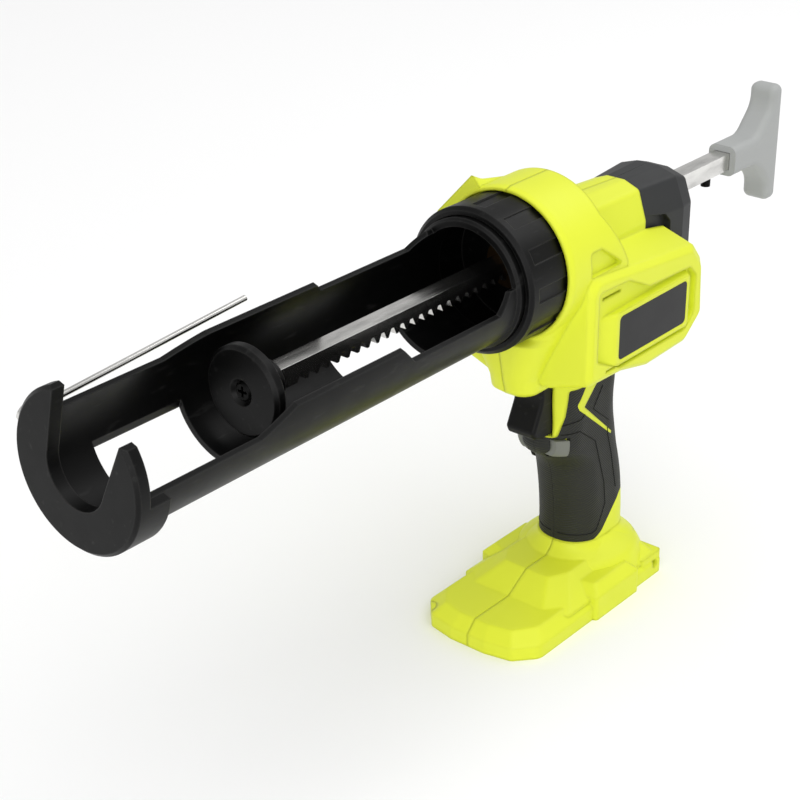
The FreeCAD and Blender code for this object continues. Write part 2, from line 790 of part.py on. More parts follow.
def make_carriage():
    body = new_body("carriage")
    wall_side = new_sketch(body, "XZ_Plane")
    draw_outline(wall_side, box_points(neck_ring_front, trough_front, -trough_radius, -trough_inner))
    revolve(body, wall_side, angle=240, both_sides=True)
    # Rims: low rails at the ends, a higher wall between them and a gusset behind
    top = trough_radius * 1.2
    ramp = trough_high_rim - trough_low_rim
    rim = new_sketch(body, "XZ_Plane")
    draw_outline(rim, [(neck_ring_front, trough_high_rim + ramp),
                       (neck_ring_front + neck_gusset, trough_low_rim),
                       (trough_side_rear - ramp / 2, trough_low_rim),
                       (trough_side_rear + ramp / 2, trough_high_rim),
                       (trough_side_front, trough_high_rim), (trough_side_front + ramp * 3, trough_low_rim),
                       (nose_front, trough_low_rim), (nose_front, top), (neck_ring_front, top)])
    pocket(body, rim, trough_radius * 3, both_sides=True)
    for start, width in ((window_front_start, window_front_width), (window_rear_start, window_rear_width)):
        window = new_sketch(body, "XY_Plane")
        draw_outline(window, box_points(start, start + window_length, -width / 2, width / 2))
        pocket(body, window)
    # Closed ring that turns in the collar, with the flange that the collar holds
    ring = new_sketch(body, "XZ_Plane")
    lip = trough_wall / 2
    draw_outline(ring, [(flange_rear, trough_inner), (neck_ring_front, trough_inner),
                        (neck_ring_front, neck_ring_radius - lip), (neck_ring_front - lip, neck_ring_radius),
                        (flange_front, neck_ring_radius), (flange_front, flange_radius),
                        (flange_rear, flange_radius)])
    revolve(body, ring)
    move(body, z=axis_height, angle=trough_roll)


def make_nose_cap():
    bevel = nose_plate / 4
    rear = nose_front - nose_depth
    inside = trough_radius + slide_fit
    seat = nose_front - nose_plate
    outline = [(seat, 0), (nose_front, 0), (nose_front, nose_radius - bevel),
               (nose_front - bevel, nose_radius), (rear, nose_radius), (rear, inside), (seat, inside)]
    body = turned_piece("nose_cap", outline, 0, 0, axis_height, angle=trough_roll)
    # Notch for the nozzle: round at the foot and wider towards the mouth
    notch = new_sketch(body, "YZ_Plane", nose_front)
    mouth = nose_radius * 1.2
    draw_outline(notch, [(-nose_notch_radius, 0), (nose_notch_radius, 0),
                         (nose_notch_radius + nose_notch_flare, mouth),
                         (-nose_notch_radius - nose_notch_flare, mouth)])
    pocket(body, notch)
    root = new_sketch(body, "YZ_Plane", nose_front)
    draw_circle(root, nose_notch_radius)
    pocket(body, root)
    arms = new_sketch(body, "YZ_Plane", nose_front)
    draw_outline(arms, box_points(-nose_radius * 1.5, nose_radius * 1.5, nose_arm_height, mouth))
    pocket(body, arms)
    skirt = new_sketch(body, "YZ_Plane", rear)
    draw_outline(skirt, box_points(-nose_radius * 1.5, nose_radius * 1.5, trough_low_rim + slide_fit, mouth))
    pocket(body, skirt, nose_depth - nose_plate, reverse=True)
    pin = new_sketch(body, "XZ_Plane", trough_inner)
    draw_circle(pin, wire_pin_radius + screw_fit, nose_front - wire_pivot_back, wire_pivot_height)
    pocket(body, pin, nose_radius, reverse=True)


def make_puncture_wire():
    """Seal wire that folds along the carriage: an eye on the pivot and a straight shank."""
    body = new_body("puncture_wire")
    shank_start = wire_eye_radius * 1.5
    section = new_sketch(body, "YZ_Plane", -shank_start)
    draw_circle(section, wire_radius)
    pad(body, section, wire_length - shank_start, reverse=True)
    eye = new_sketch(body, "XZ_Plane")
    draw_circle(eye, wire_eye_radius + wire_radius)
    draw_circle(eye, wire_pin_radius + turn_gap / 4)
    pad(body, eye, wire_radius * 2, both_sides=True)
    neck = new_sketch(body, "XZ_Plane")
    inner = wire_eye_radius * 0.8
    draw_outline(neck, box_points(-shank_start - wire_radius, -inner, -wire_radius, wire_radius))
    pad(body, neck, wire_radius * 2, both_sides=True)
    roll = FreeCAD.Rotation(V(1, 0, 0), float(trough_roll))
    lift = FreeCAD.Rotation(V(0, 1, 0), float(wire_lift))
    body.Placement = FreeCAD.Placement(wire_pivot(-wire_side()), roll * lift)


def wire_side():
    """Distance of the wire's middle from the carriage's middle plane."""
    return nose_radius + wire_stand_off + wire_radius


def wire_pivot(y):
    """Point on the wire's pivot axis, y being measured across the rolled carriage."""
    roll = FreeCAD.Rotation(V(1, 0, 0), float(trough_roll))
    point = roll.multVec(V(0, float(y), float(wire_pivot_height)))
    return point + V(float(nose_front - wire_pivot_back), 0, float(axis_height))


def make_wire_pin():
    """Headed pin in the side of the nose cap that the wire's eye turns on."""
    inner = trough_radius + slide_fit * 2
    head = wire_side() + wire_radius + turn_gap
    outline = [(inner, 0), (head + wire_radius, 0), (head + wire_radius, wire_pin_head * 0.7),
               (head + wire_radius / 2, wire_pin_head), (head, wire_pin_head), (head, wire_pin_radius),
               (inner, wire_pin_radius)]
    body = turned_piece("wire_pin", outline)
    roll = FreeCAD.Rotation(V(1, 0, 0), float(trough_roll))
    body.Placement = FreeCAD.Placement(wire_pivot(0), roll * FreeCAD.Rotation(V(0, 0, 1), -90))


# Collar, spigot and the guide bushes that the rod slides in

def make_collar():
    bevel = collar_lip / 4
    bore = flange_radius + turn_gap
    mouth = neck_ring_radius + turn_gap
    outline = [(collar_rear, bore), (collar_front - collar_lip, bore), (collar_front - collar_lip, mouth),
               (collar_front, mouth), (collar_front, collar_radius - bevel),
               (collar_front - bevel, collar_radius), (collar_rear, collar_radius)]
    body = turned_piece("collar", outline, 0, 0, axis_height)
    # Finger pads: wide shallow fields between them, open to the rear
    floor = collar_radius - collar_groove_depth
    end = collar_front - bevel * 3
    half = collar_groove_width / 2
    groove = new_sketch(body, "XY_Plane", floor)
    draw_outline(groove, box_points(collar_rear, end, -half, half))
    cut = pocket(body, groove, collar_radius, reverse=True)
    ring = body.newObject("PartDesign::PolarPattern", "GrooveRing")
    ring.Originals = [cut]
    ring.Axis = ([item for item in body.Origin.OriginFeatures if item.Role == "X_Axis"][0], [""])
    ring.Angle = 360
    ring.Occurrences = collar_groove_count
    body.Tip = ring


def make_spigot():
    inner = spigot_radius - spigot_wall
    seat = guide_radius + running_fit
    web = spigot_rear + spigot_web
    flange = spigot_rear + spigot_flange
    outline = [(spigot_rear, seat), (web, seat), (web, inner), (spigot_front, inner),
               (spigot_front, spigot_radius), (flange, spigot_radius), (flange, spigot_flange_radius),
               (spigot_rear, spigot_flange_radius)]
    turned_piece("carriage_spigot", outline, 0, 0, axis_height)


def make_guide_bush(label, start, length):
    body = new_body(label)
    disc = new_sketch(body, "YZ_Plane", start)
    draw_circle(disc, guide_radius)
    pad(body, disc, length)
    half = half_rod + slide_fit
    hole = new_sketch(body, "YZ_Plane", start)
    draw_outline(hole, box_points(-half, half, -half, half))
    pocket(body, hole, reverse=True)
    move(body, z=axis_height)


# Gears and drive

def gear_wire(teeth, module, addendum, dedendum, backlash, turn):
    """Outline of a spur gear about the origin, its first tooth pointing along the angle turn."""
    pressure = math.atan(float(rack_slope))
    pitch_radius = teeth * module / 2
    base_radius = pitch_radius * math.cos(pressure)
    root_radius = pitch_radius - dedendum
    tip_radius = pitch_radius + addendum
    half_tooth = math.pi / (2 * teeth) - backlash / (2 * pitch_radius)

    def half_angle(radius):
        slope = math.acos(min(1, base_radius / radius))
        return half_tooth + math.tan(pressure) - pressure - math.tan(slope) + slope

    def point(radius, angle):
        return V(radius * math.cos(angle), radius * math.sin(angle), 0)

    radii = [max(base_radius, root_radius), pitch_radius, tip_radius]
    edges = []
    for index in range(teeth):
        middle = turn + index * 2 * math.pi / teeth
        following = middle + 2 * math.pi / teeth
        rise = [point(radius, middle - half_angle(radius)) for radius in radii]
        fall = [point(radius, middle + half_angle(radius)) for radius in reversed(radii)]
        root_half = half_angle(radii[0])
        root_start = point(root_radius, middle + root_half)
        root_end = point(root_radius, following - root_half)
        root_first = point(root_radius, middle - root_half)
        if root_radius < base_radius:
            edges.append(Part.LineSegment(root_first, rise[0]).toShape())
        edges.append(Part.Arc(*rise).toShape())
        edges.append(Part.Arc(rise[-1], point(tip_radius, middle), fall[0]).toShape())
        edges.append(Part.Arc(*fall).toShape())
        if root_radius < base_radius:
            edges.append(Part.LineSegment(fall[-1], root_start).toShape())
        edges.append(Part.Arc(root_start, point(root_radius, (middle + following) / 2), root_end).toShape())
    return Part.Wire(edges)


def gear_solid(teeth, module, addendum, dedendum, backlash, turn, width, bore):
    face = Part.Face(gear_wire(teeth, float(module), float(addendum), float(dedendum),
                               float(backlash), turn))
    blank = face.extrude(V(0, 0, float(width)))
    return blank.cut(Part.makeCylinder(float(bore), float(width))) if bore else blank


def make_gears():
    """Gears drawn flat, then stood up so that they turn about Y."""
    bore = pinion_shaft_radius + running_fit / 2
    up = math.pi / 2
    turn = up + math.pi / pinion_teeth
    pinion = gear_solid(pinion_teeth, rack_module, rack_addendum, rack_dedendum, rack_backlash, turn,
                        pinion_width, bore)
    shape_piece("rack_pinion", pinion, pinion_x, pinion_width / 2, pinion_z, V(1, 0, 0), 90)
    # Output pair: the line between the axes runs back and down
    addendum = output_module * 0.8
    dedendum = output_module * 1.05
    line = math.pi + math.radians(motor_drop_angle)
    gear = gear_solid(output_gear_teeth, output_module, addendum, dedendum, gear_backlash, line,
                      output_gear_width, bore)
    shape_piece("output_gear", gear, pinion_x, output_gear_side, pinion_z, V(1, 0, 0), 90)
    facing = line + math.pi + math.pi / output_pinion_teeth
    small = gear_solid(output_pinion_teeth, output_module, addendum, dedendum, gear_backlash, facing,
                       output_gear_width, None)
    reach = float(gearbox_face + gearbox_length / 4 - output_gear_side)
    stub = Part.makeCylinder(float(gearbox_shaft_radius), reach, V(0, 0, -reach))
    shape_piece("gearbox_output", small.fuse(stub), motor_x, output_gear_side, motor_z, V(1, 0, 0), 90)


def make_drive():
    rod_piece("pinion_shaft", pinion_shaft_radius, case_half_width * 2, pinion_x, -case_half_width, pinion_z,
              V(1, 0, 0), -90)
    bush_inner = pinion_shaft_radius + running_fit
    bush_outer = bush_inner + bush_wall
    left_start = pinion_width / 2 + gear_room
    right_end = output_gear_side - output_gear_width - gear_room
    for label, start, end in (("shaft_bush_left", left_start, case_half_width),
                              ("shaft_bush_right", -case_half_width, right_end)):
        outline = box_points(start, end, bush_inner, bush_outer)
        turned_piece(label, outline, pinion_x, 0, pinion_z, V(0, 0, 1), 90)
    bevel = gearbox_radius / 10
    end = gearbox_face + gearbox_length
    bore = gearbox_shaft_radius + running_fit
    blind = gearbox_face + gearbox_length / 3
    nose = gearbox_radius * 0.6
    step = gearbox_face + bevel
    box_outline = [(gearbox_face, bore), (gearbox_face, nose), (step, nose), (step, gearbox_radius - bevel),
                   (step + bevel, gearbox_radius), (end, gearbox_radius), (end, 0), (blind, 0), (blind, bore)]
    turned_piece("gearbox_case", box_outline, motor_x, 0, motor_z, V(0, 0, 1), 90)
    tail = end + motor_length
    can_outline = [(end, 0), (end, motor_radius), (tail - motor_vent, motor_radius),
                   (tail - motor_vent, motor_radius * 0.86), (tail - motor_vent / 2, motor_radius * 0.8),
                   (tail - motor_vent / 2, motor_radius * 0.35), (tail, motor_radius * 0.35), (tail, 0)]
    turned_piece("motor_can", can_outline, motor_x, 0, motor_z, V(0, 0, 1), 90)


def gear_case_solid(clear=0.0):
    """Block around rack and pinion, saddled over the gearbox; clear grows it for the housing's cut."""
    grow = float(clear)
    top = float(axis_height + case_top) + grow
    bottom = float(axis_height - case_bottom) - grow
    side = float(case_half_width) + grow
    radius = float(case_round)
    corners = mirrored([(side, top, radius), (side, bottom, radius)])
    return prism(corners, across_x(float(case_rear) - grow), x=float(spigot_rear - case_rear) + grow)


def make_gear_case():
    shape = gear_case_solid()
    channel = float(half_rod + gear_room)
    reach = float(rod_width) * 10
    shape = shape.cut(block(-reach, reach, -channel, channel, float(axis_height) - channel,
                            float(axis_height) + channel))
    pinion_room = pinion_radius + rack_addendum + gear_room
    half_room = pinion_width / 2 + gear_room
    shape = shape.cut(cylinder_y(pinion_room, pinion_x, pinion_z, -half_room, half_room))
    wheel_room = output_module * (output_gear_teeth / 2 + 1) + gear_room
    wheel_right = output_gear_side - output_gear_width - gear_room
    shape = shape.cut(cylinder_y(wheel_room, pinion_x, pinion_z, wheel_right, output_gear_side + gear_room))
    seat = pinion_shaft_radius + bush_wall + running_fit * 2
    shape = shape.cut(cylinder_y(seat, pinion_x, pinion_z, -case_half_width * 2, case_half_width * 2))
    shape = shape.cut(cylinder_y(gearbox_radius + running_fit, motor_x, motor_z, -case_half_width * 2,
                                 case_half_width * 2))
    left, right = halves(shape)
    shape_piece("gear_case_left", left)
    shape_piece("gear_case_right", right)


# Housing forms: each is given its outer size or, with an inset, the room inside it

def shroud_form():
    """Round hood over the collar, its rear edge drawn back to a tail at each side."""
    ring = collar_radius + collar_seat + shroud_lip
    shoulder = shroud_front - shroud_chamfer
    hood = cylinder_x(shroud_radius, tail_rear, shoulder)
    brim = Part.makeCone(float(shroud_radius), float(ring), float(shroud_chamfer),
                         V(float(shoulder), 0, float(axis_height)), V(1, 0, 0))
    reach = shroud_radius * 2
    above = axis_height + reach
    behind = tail_rear - shroud_radius
    lean = prism([(behind, tail_height, edge_round), (tail_rear, tail_height, edge_round),
                  (shroud_top_rear, tail_shoulder, shroud_chamfer), (shroud_top_rear, above, edge_round),
                  (behind, above, edge_round)], across_y(-reach), y=reach * 2)
    # Sunk field ahead of the tail's edge
    front = bulge_front - tail_pocket
    top = tail_height + tail_pocket * 4
    low = tail_height + tail_lift
    field = prism([(front, low, edge_round), (front, top, tail_round),
                   (front - tail_pocket * 3, top, tail_round), (tail_rear + tail_pocket * 1.3, low, edge_round)],
                  across_y(shroud_radius - tail_pocket), y=shroud_radius)
    return hood.fuse(brim).cut(lean).cut(both_sides(field)).fuse(guard_form())


def guard_form():
    """Raised guard on the right of the hood: full height at the front, run out to nothing behind."""
    root = shroud_radius * 0.95

    def section(x, radius):
        places = [(guard_start - guard_lead, root), (guard_start, radius), (guard_end, radius),
                  (guard_end + guard_run, root)]
        corners = []
        for angle, distance in places:
            turn = math.radians(angle)
            corners.append((-distance * math.sin(turn), axis_height + distance * math.cos(turn), edge_round))
        return rounded_wire(corners, across_x(x))

    return loft([section(guard_rear, shroud_radius), section(shroud_front - edge_round, guard_radius)])


def neck_section(x, growth, inset):
    rise = inset * 0.4
    side = neck_half_width * growth - inset
    half = [(neck_crown * growth, axis_height + neck_top * growth - inset, neck_round),
            (neck_flat * growth - inset / 2, axis_height + neck_eave * growth - inset, neck_round),
            (side, axis_height + neck_shoulder * growth - rise, neck_round),
            (side, axis_height - neck_half_width * 1.5, edge_round)]
    return rounded_wire(mirrored(half), across_x(x))


def neck_form(inset=0):
    front = shroud_top_rear + shroud_chamfer
    return loft([neck_section(rear_cover_front - inset, 1, inset), neck_section(front, neck_growth, inset)])


def bulge_corners(flare, inset=0):
    """Side outline of the drive bulge; flare is 0 at its outer face and 1 at its root."""
    spread = bulge_flare * flare - inset
    front = bulge_front + bulge_front_flare * flare - inset
    rear = bulge_rear - spread / 4 + inset * 0.75
    top = bulge_top + spread
    bottom = bulge_bottom - spread
    length = bulge_front - bulge_rear
    fall = top - bulge_top_fall
    return [(front, bottom + bulge_bottom_rise, bulge_round), (front, top, bulge_round * 1.5),
            (rear + length / 10, fall, bulge_round), (rear + length / 60, fall - length / 10, bulge_round),
            (rear, bottom + length / 9, bulge_round), (rear + length / 8, bottom + edge_round, bulge_round),
            (rear + length * 0.47, bottom, bulge_round),
            (rear + length * 0.7, bottom + bulge_bottom_rise * 0.8, edge_round)]


def bulge_side(inset=0):
    shoulder = bulge_half_width - bulge_edge
    if inset:
        face = bulge_half_width - recess_depth - wall * 0.8
        return loft([rounded_wire(bulge_corners(1, inset), across_y(bulge_root)),
                     rounded_wire(bulge_corners(0, inset + bulge_edge), across_y(face))])
    return loft([rounded_wire(bulge_corners(1), across_y(bulge_root)),
                 rounded_wire(bulge_corners(0.1), across_y(shoulder)),
                 rounded_wire(bulge_corners(0, bulge_edge), across_y(bulge_half_width))])


def bulge_form(inset=0):
    middle = prism(bulge_corners(1, inset), across_y(-bulge_root), y=bulge_root * 2)
    return middle.fuse(both_sides(bulge_side(inset)))


def lobe_form(inset=0):
    """Chin under the collar: drawn in from the hood's width and down to the trigger."""
    half = lobe_half_width
    chin_height = lobe_bottom + lobe_round * 1.6
    if inset:
        top = lobe_top - inset
        side = half - inset * 2
        rear = lobe_rear + inset
        low = lobe_bottom + inset
        return prism([(lobe_front - inset * 2, top, edge_round),
                      (lobe_chin - inset * 2, chin_height, lobe_round),
                      (lobe_chin - lobe_round * 2, low, lobe_round), (rear, low, edge_round),
                      (rear, top, edge_round)], across_y(-side), y=side * 2)
    wide = shroud_radius * 0.97
    top = axis_height - wide / 4
    draw_in = (wide - half) / (top - chin_height)
    ledge = lobe_top - lobe_round / 2

    def section(z, side, front, corner):
        return rounded_wire(mirrored([(side, front, corner), (side, lobe_rear, edge_round)]), flat_z(z))

    return loft([section(lobe_bottom, half - lobe_round / 2, lobe_chin - lobe_round, lobe_round * 1.4),
                 section(lobe_bottom + lobe_round / 2, half, lobe_chin - lobe_round / 3, lobe_round * 1.7),
                 section(chin_height, half, lobe_chin, lobe_round * 1.8),
                 section(ledge, half + draw_in * (ledge - chin_height), lobe_front, lobe_round * 2.5),
                 section(lobe_top, half + draw_in * (lobe_top - chin_height), shroud_front, lobe_round * 2),
                 section(top, wide, shroud_front, lobe_round)])


def handle_section(level, front, rear, inset):
    side = handle_half_width - inset
    corner = handle_corner - inset
    half = [(side, front - inset, corner), (side, rear + inset, corner)]
    return rounded_wire(mirrored(half), flat_z(level))


def handle_form(inset=0):
    levels = [(handle_base, handle_base_front, handle_base_rear),
              (handle_palm, handle_palm_front, handle_palm_rear),
              (handle_waist, handle_waist_front, handle_waist_rear),
              (handle_finger, handle_finger_front, handle_finger_rear),
              (handle_brow, handle_brow_front, handle_brow_rear),
              (handle_ledge, handle_ledge_front, handle_ledge_rear),
              (handle_lip, handle_lip_front, handle_lip_rear),
              (handle_top, handle_top_front, handle_top_rear)]
    return loft([handle_section(level, front, rear, inset) for level, front, rear in levels], smooth=True)


def foot_form():
    """Base plate with its sloping deck, side pads, rear lugs and the flare into the handle."""
    inner = foot_half_width / 2
    heel_round = foot_round / 2

    def slab_outline(inset, z):
        side = foot_half_width - inset
        front = foot_front - inset
        half = [(side * 0.3, front, toe_round), (side * 0.72, front - toe_round, heel_round),
                (side, front - foot_half_width * 0.4, foot_round), (side, foot_rear + inset, heel_round)]
        return rounded_wire(mirrored(half), flat_z(z))

    def deck_outline(inset, front, z):
        side = foot_half_width - foot_bevel / 4 - inset
        rear = foot_rear + foot_bevel / 2 + inset / 2
        half = [(side * 0.7, front, toe_round), (side, front - deck_slope * 0.6, heel_round),
                (side, rear, heel_round)]
        return rounded_wire(mirrored(half), flat_z(z))

    def pad_outline(inset, z):
        outer = pad_half_width - inset
        corners = [(inner, pad_front - inset, edge_round), (outer, pad_front - pad_bevel - inset, pad_round),
                   (outer, pad_rear + pad_bevel + inset, pad_round), (inner, pad_rear + inset, edge_round)]
        return rounded_wire(corners, flat_z(z))

    def flare_outline(growth, z):
        return handle_section(z, handle_base_front, handle_base_rear, -growth)

    slab = loft([slab_outline(0, 0), slab_outline(0, foot_edge), slab_outline(foot_bevel, foot_slab)])
    low = foot_edge + foot_bevel / 2
    deck = loft([deck_outline(0, deck_front, low), deck_outline(0, deck_front, low + edge_round),
                 deck_outline(deck_side, deck_front - deck_slope, deck_top)])
    side_pad = loft([pad_outline(0, 0), pad_outline(0, pad_height - pad_bevel),
                     pad_outline(pad_bevel, pad_height)])
    lug_side = foot_half_width - lug_setback
    lug = prism([(inner, lug_front, pad_round), (lug_side, lug_front, pad_round),
                 (lug_side, foot_rear, pad_round), (inner, foot_rear, pad_round)], flat_z(0), z=lug_height)
    rise = grip_bottom - deck_top
    flare = loft([flare_outline(base_flare, deck_top - flare_sink),
                  flare_outline(base_flare * 0.75, deck_top),
                  flare_outline(base_flare * 0.25, deck_top + rise * 0.5),
                  flare_outline(flare_lip, grip_bottom - flare_gap)], smooth=True)
    behind = block(foot_rear * 2, foot_rear + lug_setback, -foot_half_width, foot_half_width, 0, grip_bottom)
    return joined([slab, deck, flare.cut(behind), both_sides(side_pad), both_sides(lug)])


# Cuts and bosses that the shells share with the pieces they hold

def grip_zone():
    """Room of the soft skin on the handle: its side outline, less the bare strip and the core inside it."""
    reach = handle_half_width * 2
    far_front = handle_ledge_front * 3
    far_rear = handle_base_rear * 1.5
    lip = handle_lip_front - grip_lip
    bend = grip_round * 0.75
    corners = [(far_front, grip_bottom, edge_round), (far_front, handle_ledge + grip_lap / 2, edge_round),
               (lip + trigger_round, handle_ledge + grip_lap, grip_round / 2),
               (lip, handle_lip - grip_round * 1.25, bend), (lip - grip_lap, grip_top, edge_round),
               (far_rear, grip_top, edge_round), (far_rear, handle_palm, edge_round),
               (handle_palm_rear + grip_heel, handle_palm - grip_round / 2, grip_round),
               (handle_palm_rear + grip_heel_low, grip_bottom + bend, grip_round),
               (handle_palm_rear + grip_heel_end, grip_bottom, grip_round)]
    zone = prism(corners, across_y(-reach), y=reach * 2)
    # Bare strip of the shell: down from the bulge, round a bend and back to a point
    top = grip_top + grip_lap
    fine = strip_bend / 3
    end = handle_brow_front - strip_run
    strip = prism([(strip_front, top, fine), (strip_tip, handle_lip, strip_bend),
                   (strip_tip - strip_bend, handle_lip - strip_bend * 2, edge_round),
                   (end, handle_brow - strip_thin * 2, strip_point),
                   (end - strip_point * 2, handle_brow + strip_thin, strip_point),
                   (strip_tip - strip_waist, handle_lip - strip_thin * 6, fine),
                   (strip_front - strip_width, top, fine)], across_y(-reach), y=reach * 2)
    return zone.cut(strip).cut(handle_form(grip_skin))


def trigger_slot():
    """Room of the trigger over its travel: open in front below the chin, closed in front inside it."""
    side = trigger_half_width + trigger_gap
    rear = trigger_rear - trigger_travel - trigger_gap
    below = block(rear, trigger_front * 2, -side, side, trigger_bottom - trigger_gap, lobe_bottom)
    within = block(rear, trigger_front - trigger_round, -side, side, lobe_bottom - overcut,
                   trigger_top + trigger_gap * 2)
    return below.fuse(within)


def button_window(margin, inner=None):
    """Slot of the lock-off button: right through the handle, or from an inner place outwards on the left."""
    half_length = button_length / 2 + margin
    half_height = button_height / 2 + margin
    reach = handle_half_width * 2
    start = -reach if inner is None else inner
    return block(button_x - half_length, button_x + half_length, start, reach, button_z - half_height,
                 button_z + half_height)


def screw_places():
    """Case screws by name, with where they sit seen from the side."""
    return {"case_screw_bulge_front": (bulge_front - bulge_screw_in, bulge_bottom + bulge_screw_up),
            "case_screw_bulge_rear": (rear_cover_front + cover_screw_in, bulge_bottom + cover_screw_up),
            "case_screw_handle_top": (handle_lip_rear + lip_screw_in, handle_lip - lip_screw_drop),
            "case_screw_handle_middle": (handle_finger_front - finger_screw_in,
                                         handle_finger - finger_screw_drop),
            "case_screw_foot_front": (foot_front - toe_screw_in, foot_edge * 0.8),
            "case_screw_foot_rear": (foot_rear + heel_screw_in, foot_edge + heel_screw_up)}


def cover_screw_place():
    return rear_cover_shoulder, axis_height - guide_radius * 1.8


def post_form(inset, z_low, z_high):
    """Room for the battery's post inside the handle."""
    side = post_half_width - inset
    corners = mirrored([(side, post_front - inset, post_round), (side, post_rear + inset, post_round)])
    return prism(corners, flat_z(z_low), z=float(z_high) - float(z_low))


def badge_form(grow, thickness):
    """Bare plate let into the platform; grown, it cuts the bed of the plate."""
    front = badge_front + grow
    rear = badge_front - badge_length - grow
    low = badge_bottom - grow
    high = badge_bottom + badge_height + grow
    bed = bulge_half_width + platform_rise - badge_thickness
    corners = [(front, low, recess_round), (front, high, recess_round), (rear, high, recess_round),
               (rear, low, recess_round)]
    return prism(corners, across_y(bed), y=thickness)


def screw_boss(place):
    x, z = place
    return cylinder_y(case_screw_boss, x, z, -bulge_half_width, bulge_half_width)


def screw_hole(place):
    x, z = place
    reach = bulge_half_width * 1.5
    well = cylinder_y(case_screw_head_radius + screw_fit * 4, x, z, -reach, -case_screw_seat)
    shank = cylinder_y(case_screw_shank_radius + screw_fit, x, z, -case_screw_seat - overcut,
                       case_screw_length - case_screw_seat + overcut)
    return well.fuse(shank)


def cover_form(inset=0):
    """Rear cover: goes on from the neck, widens and closes behind the guide bush."""
    def section(x, side, growth, drop):
        half = [(neck_crown * growth, axis_height + neck_top - drop - inset, rear_cover_round),
                (neck_flat * growth - inset / 2, axis_height + neck_eave - drop - inset, rear_cover_round),
                (side - inset, axis_height + neck_shoulder - inset * 0.4, rear_cover_round),
                (side - inset, rear_cover_bottom + inset, rear_cover_round)]
        return rounded_wire(mirrored(half), across_x(x))

    growth = rear_cover_half_width / neck_half_width
    drop = rear_cover_round
    front = section(rear_cover_front + inset, neck_half_width, 1, 0)
    shoulder = section(rear_cover_shoulder, rear_cover_half_width, growth, 0)
    if inset:
        seat = rear_cover_rear + guide_rear_length
        return loft([front, section(seat, rear_cover_half_width - edge_round, growth, 0)])
    form = loft([front, shoulder, section(rear_cover_rear, rear_cover_half_width - drop / 2, growth, drop)])
    reach = rear_cover_half_width * 2
    run = (rear_cover_front - rear_cover_rear) * 0.6
    high = axis_height - run
    low = rear_cover_bottom - overcut
    behind = rear_cover_rear - cover_pocket_depth
    under = prism([(behind, high, edge_round), (rear_cover_rear, high, edge_round),
                   (rear_cover_rear + run, low, edge_round), (behind, low, edge_round)],
                  across_y(-reach), y=reach * 2)
    return form.cut(under)


def cover_pocket_outline(grow):
    """Side outline of the pocket in the rear cover; grown, of the wall that lines it."""
    front = rear_cover_front + cover_pocket_wall - grow
    rear = rear_cover_rear + guide_rear_length * 2.3 - grow
    low = axis_height - cover_pocket_low - grow
    return [(front, axis_height + cover_pocket_wall + grow / 2, cover_pocket_wall),
            (rear + cover_pocket_bevel, axis_height - cover_pocket_sink + grow, rear_cover_round),
            (rear, axis_height - cover_pocket_depth + grow / 2, rear_cover_round),
            (rear, low, rear_cover_round), (front, low, cover_pocket_wall)]


def make_rear_covers():
    form = cover_form()
    place = cover_screw_place()
    shape = form.cut(cover_form(wall)).fuse(screw_boss(place).common(form)).cut(screw_hole(place))
    shape = shape.cut(cylinder_x(guide_radius + running_fit, rear_cover_rear * 2, rear_cover_front))
    floor = rear_cover_half_width - cover_pocket_depth
    hollow = prism(cover_pocket_outline(0), across_y(floor), y=rear_cover_half_width)
    lining = prism(cover_pocket_outline(cover_pocket_wall), across_y(floor - cover_pocket_wall),
                   y=cover_pocket_depth)
    shape = shape.fuse(both_sides(lining).common(form)).cut(both_sides(hollow))
    left, right = halves(shape)
    shape_piece("rear_cover_left", left)
    shape_piece("rear_cover_right", right)


def recess_cut():
    """Sunk panel of the bulge side, with the platform left standing in it and two vent slots."""
    floor = bulge_half_width - recess_depth
    front = bulge_front - recess_front
    rear = bulge_rear + recess_rear
    top = bulge_top - recess_top
    bottom = bulge_bottom + recess_bottom
    bend = badge_front - badge_length / 2 + recess_bend
    corners = [(front, bottom + recess_chin, recess_round), (front, top, recess_round),
               (badge_front - recess_corner, top - edge_round, recess_bend),
               (bend, top - recess_step, recess_bend), (rear + recess_bevel, top - recess_fall, recess_round),
               (rear, top - recess_fall - recess_bevel, recess_round),
               (rear, bottom + recess_corner, recess_round), (rear + recess_bottom, bottom, recess_round),
               (badge_front - recess_toe, bottom, recess_bend)]
    panel = prism(corners, across_y(floor), y=recess_depth * 2)

    def platform_outline(grow, y):
        ramp = platform_ramp if grow else 0
        margin = badge_margin + platform_draft * grow
        ahead = badge_front + margin + ramp
        behind = badge_front - badge_length - margin
        low = badge_bottom - margin
        high = badge_bottom + badge_height + margin
        return rounded_wire([(ahead, low + ramp / 3, recess_round), (ahead, high - ramp / 3, recess_round),
                             (behind, high, recess_round), (behind, low, recess_round)], across_y(y))

    platform = loft([platform_outline(1, floor - platform_sink),
                     platform_outline(0, bulge_half_width + platform_rise)])
    vent_front = front - vent_length / 2
    vents = [(vent_front, top - vent_drop, vent_length), (vent_front, bottom + recess_round, vent_length / 2)]
    slots = [block(x - length, x, bulge_root, bulge_half_width, z - vent_width, z) for x, z, length in vents]
    return panel, platform, joined(slots)


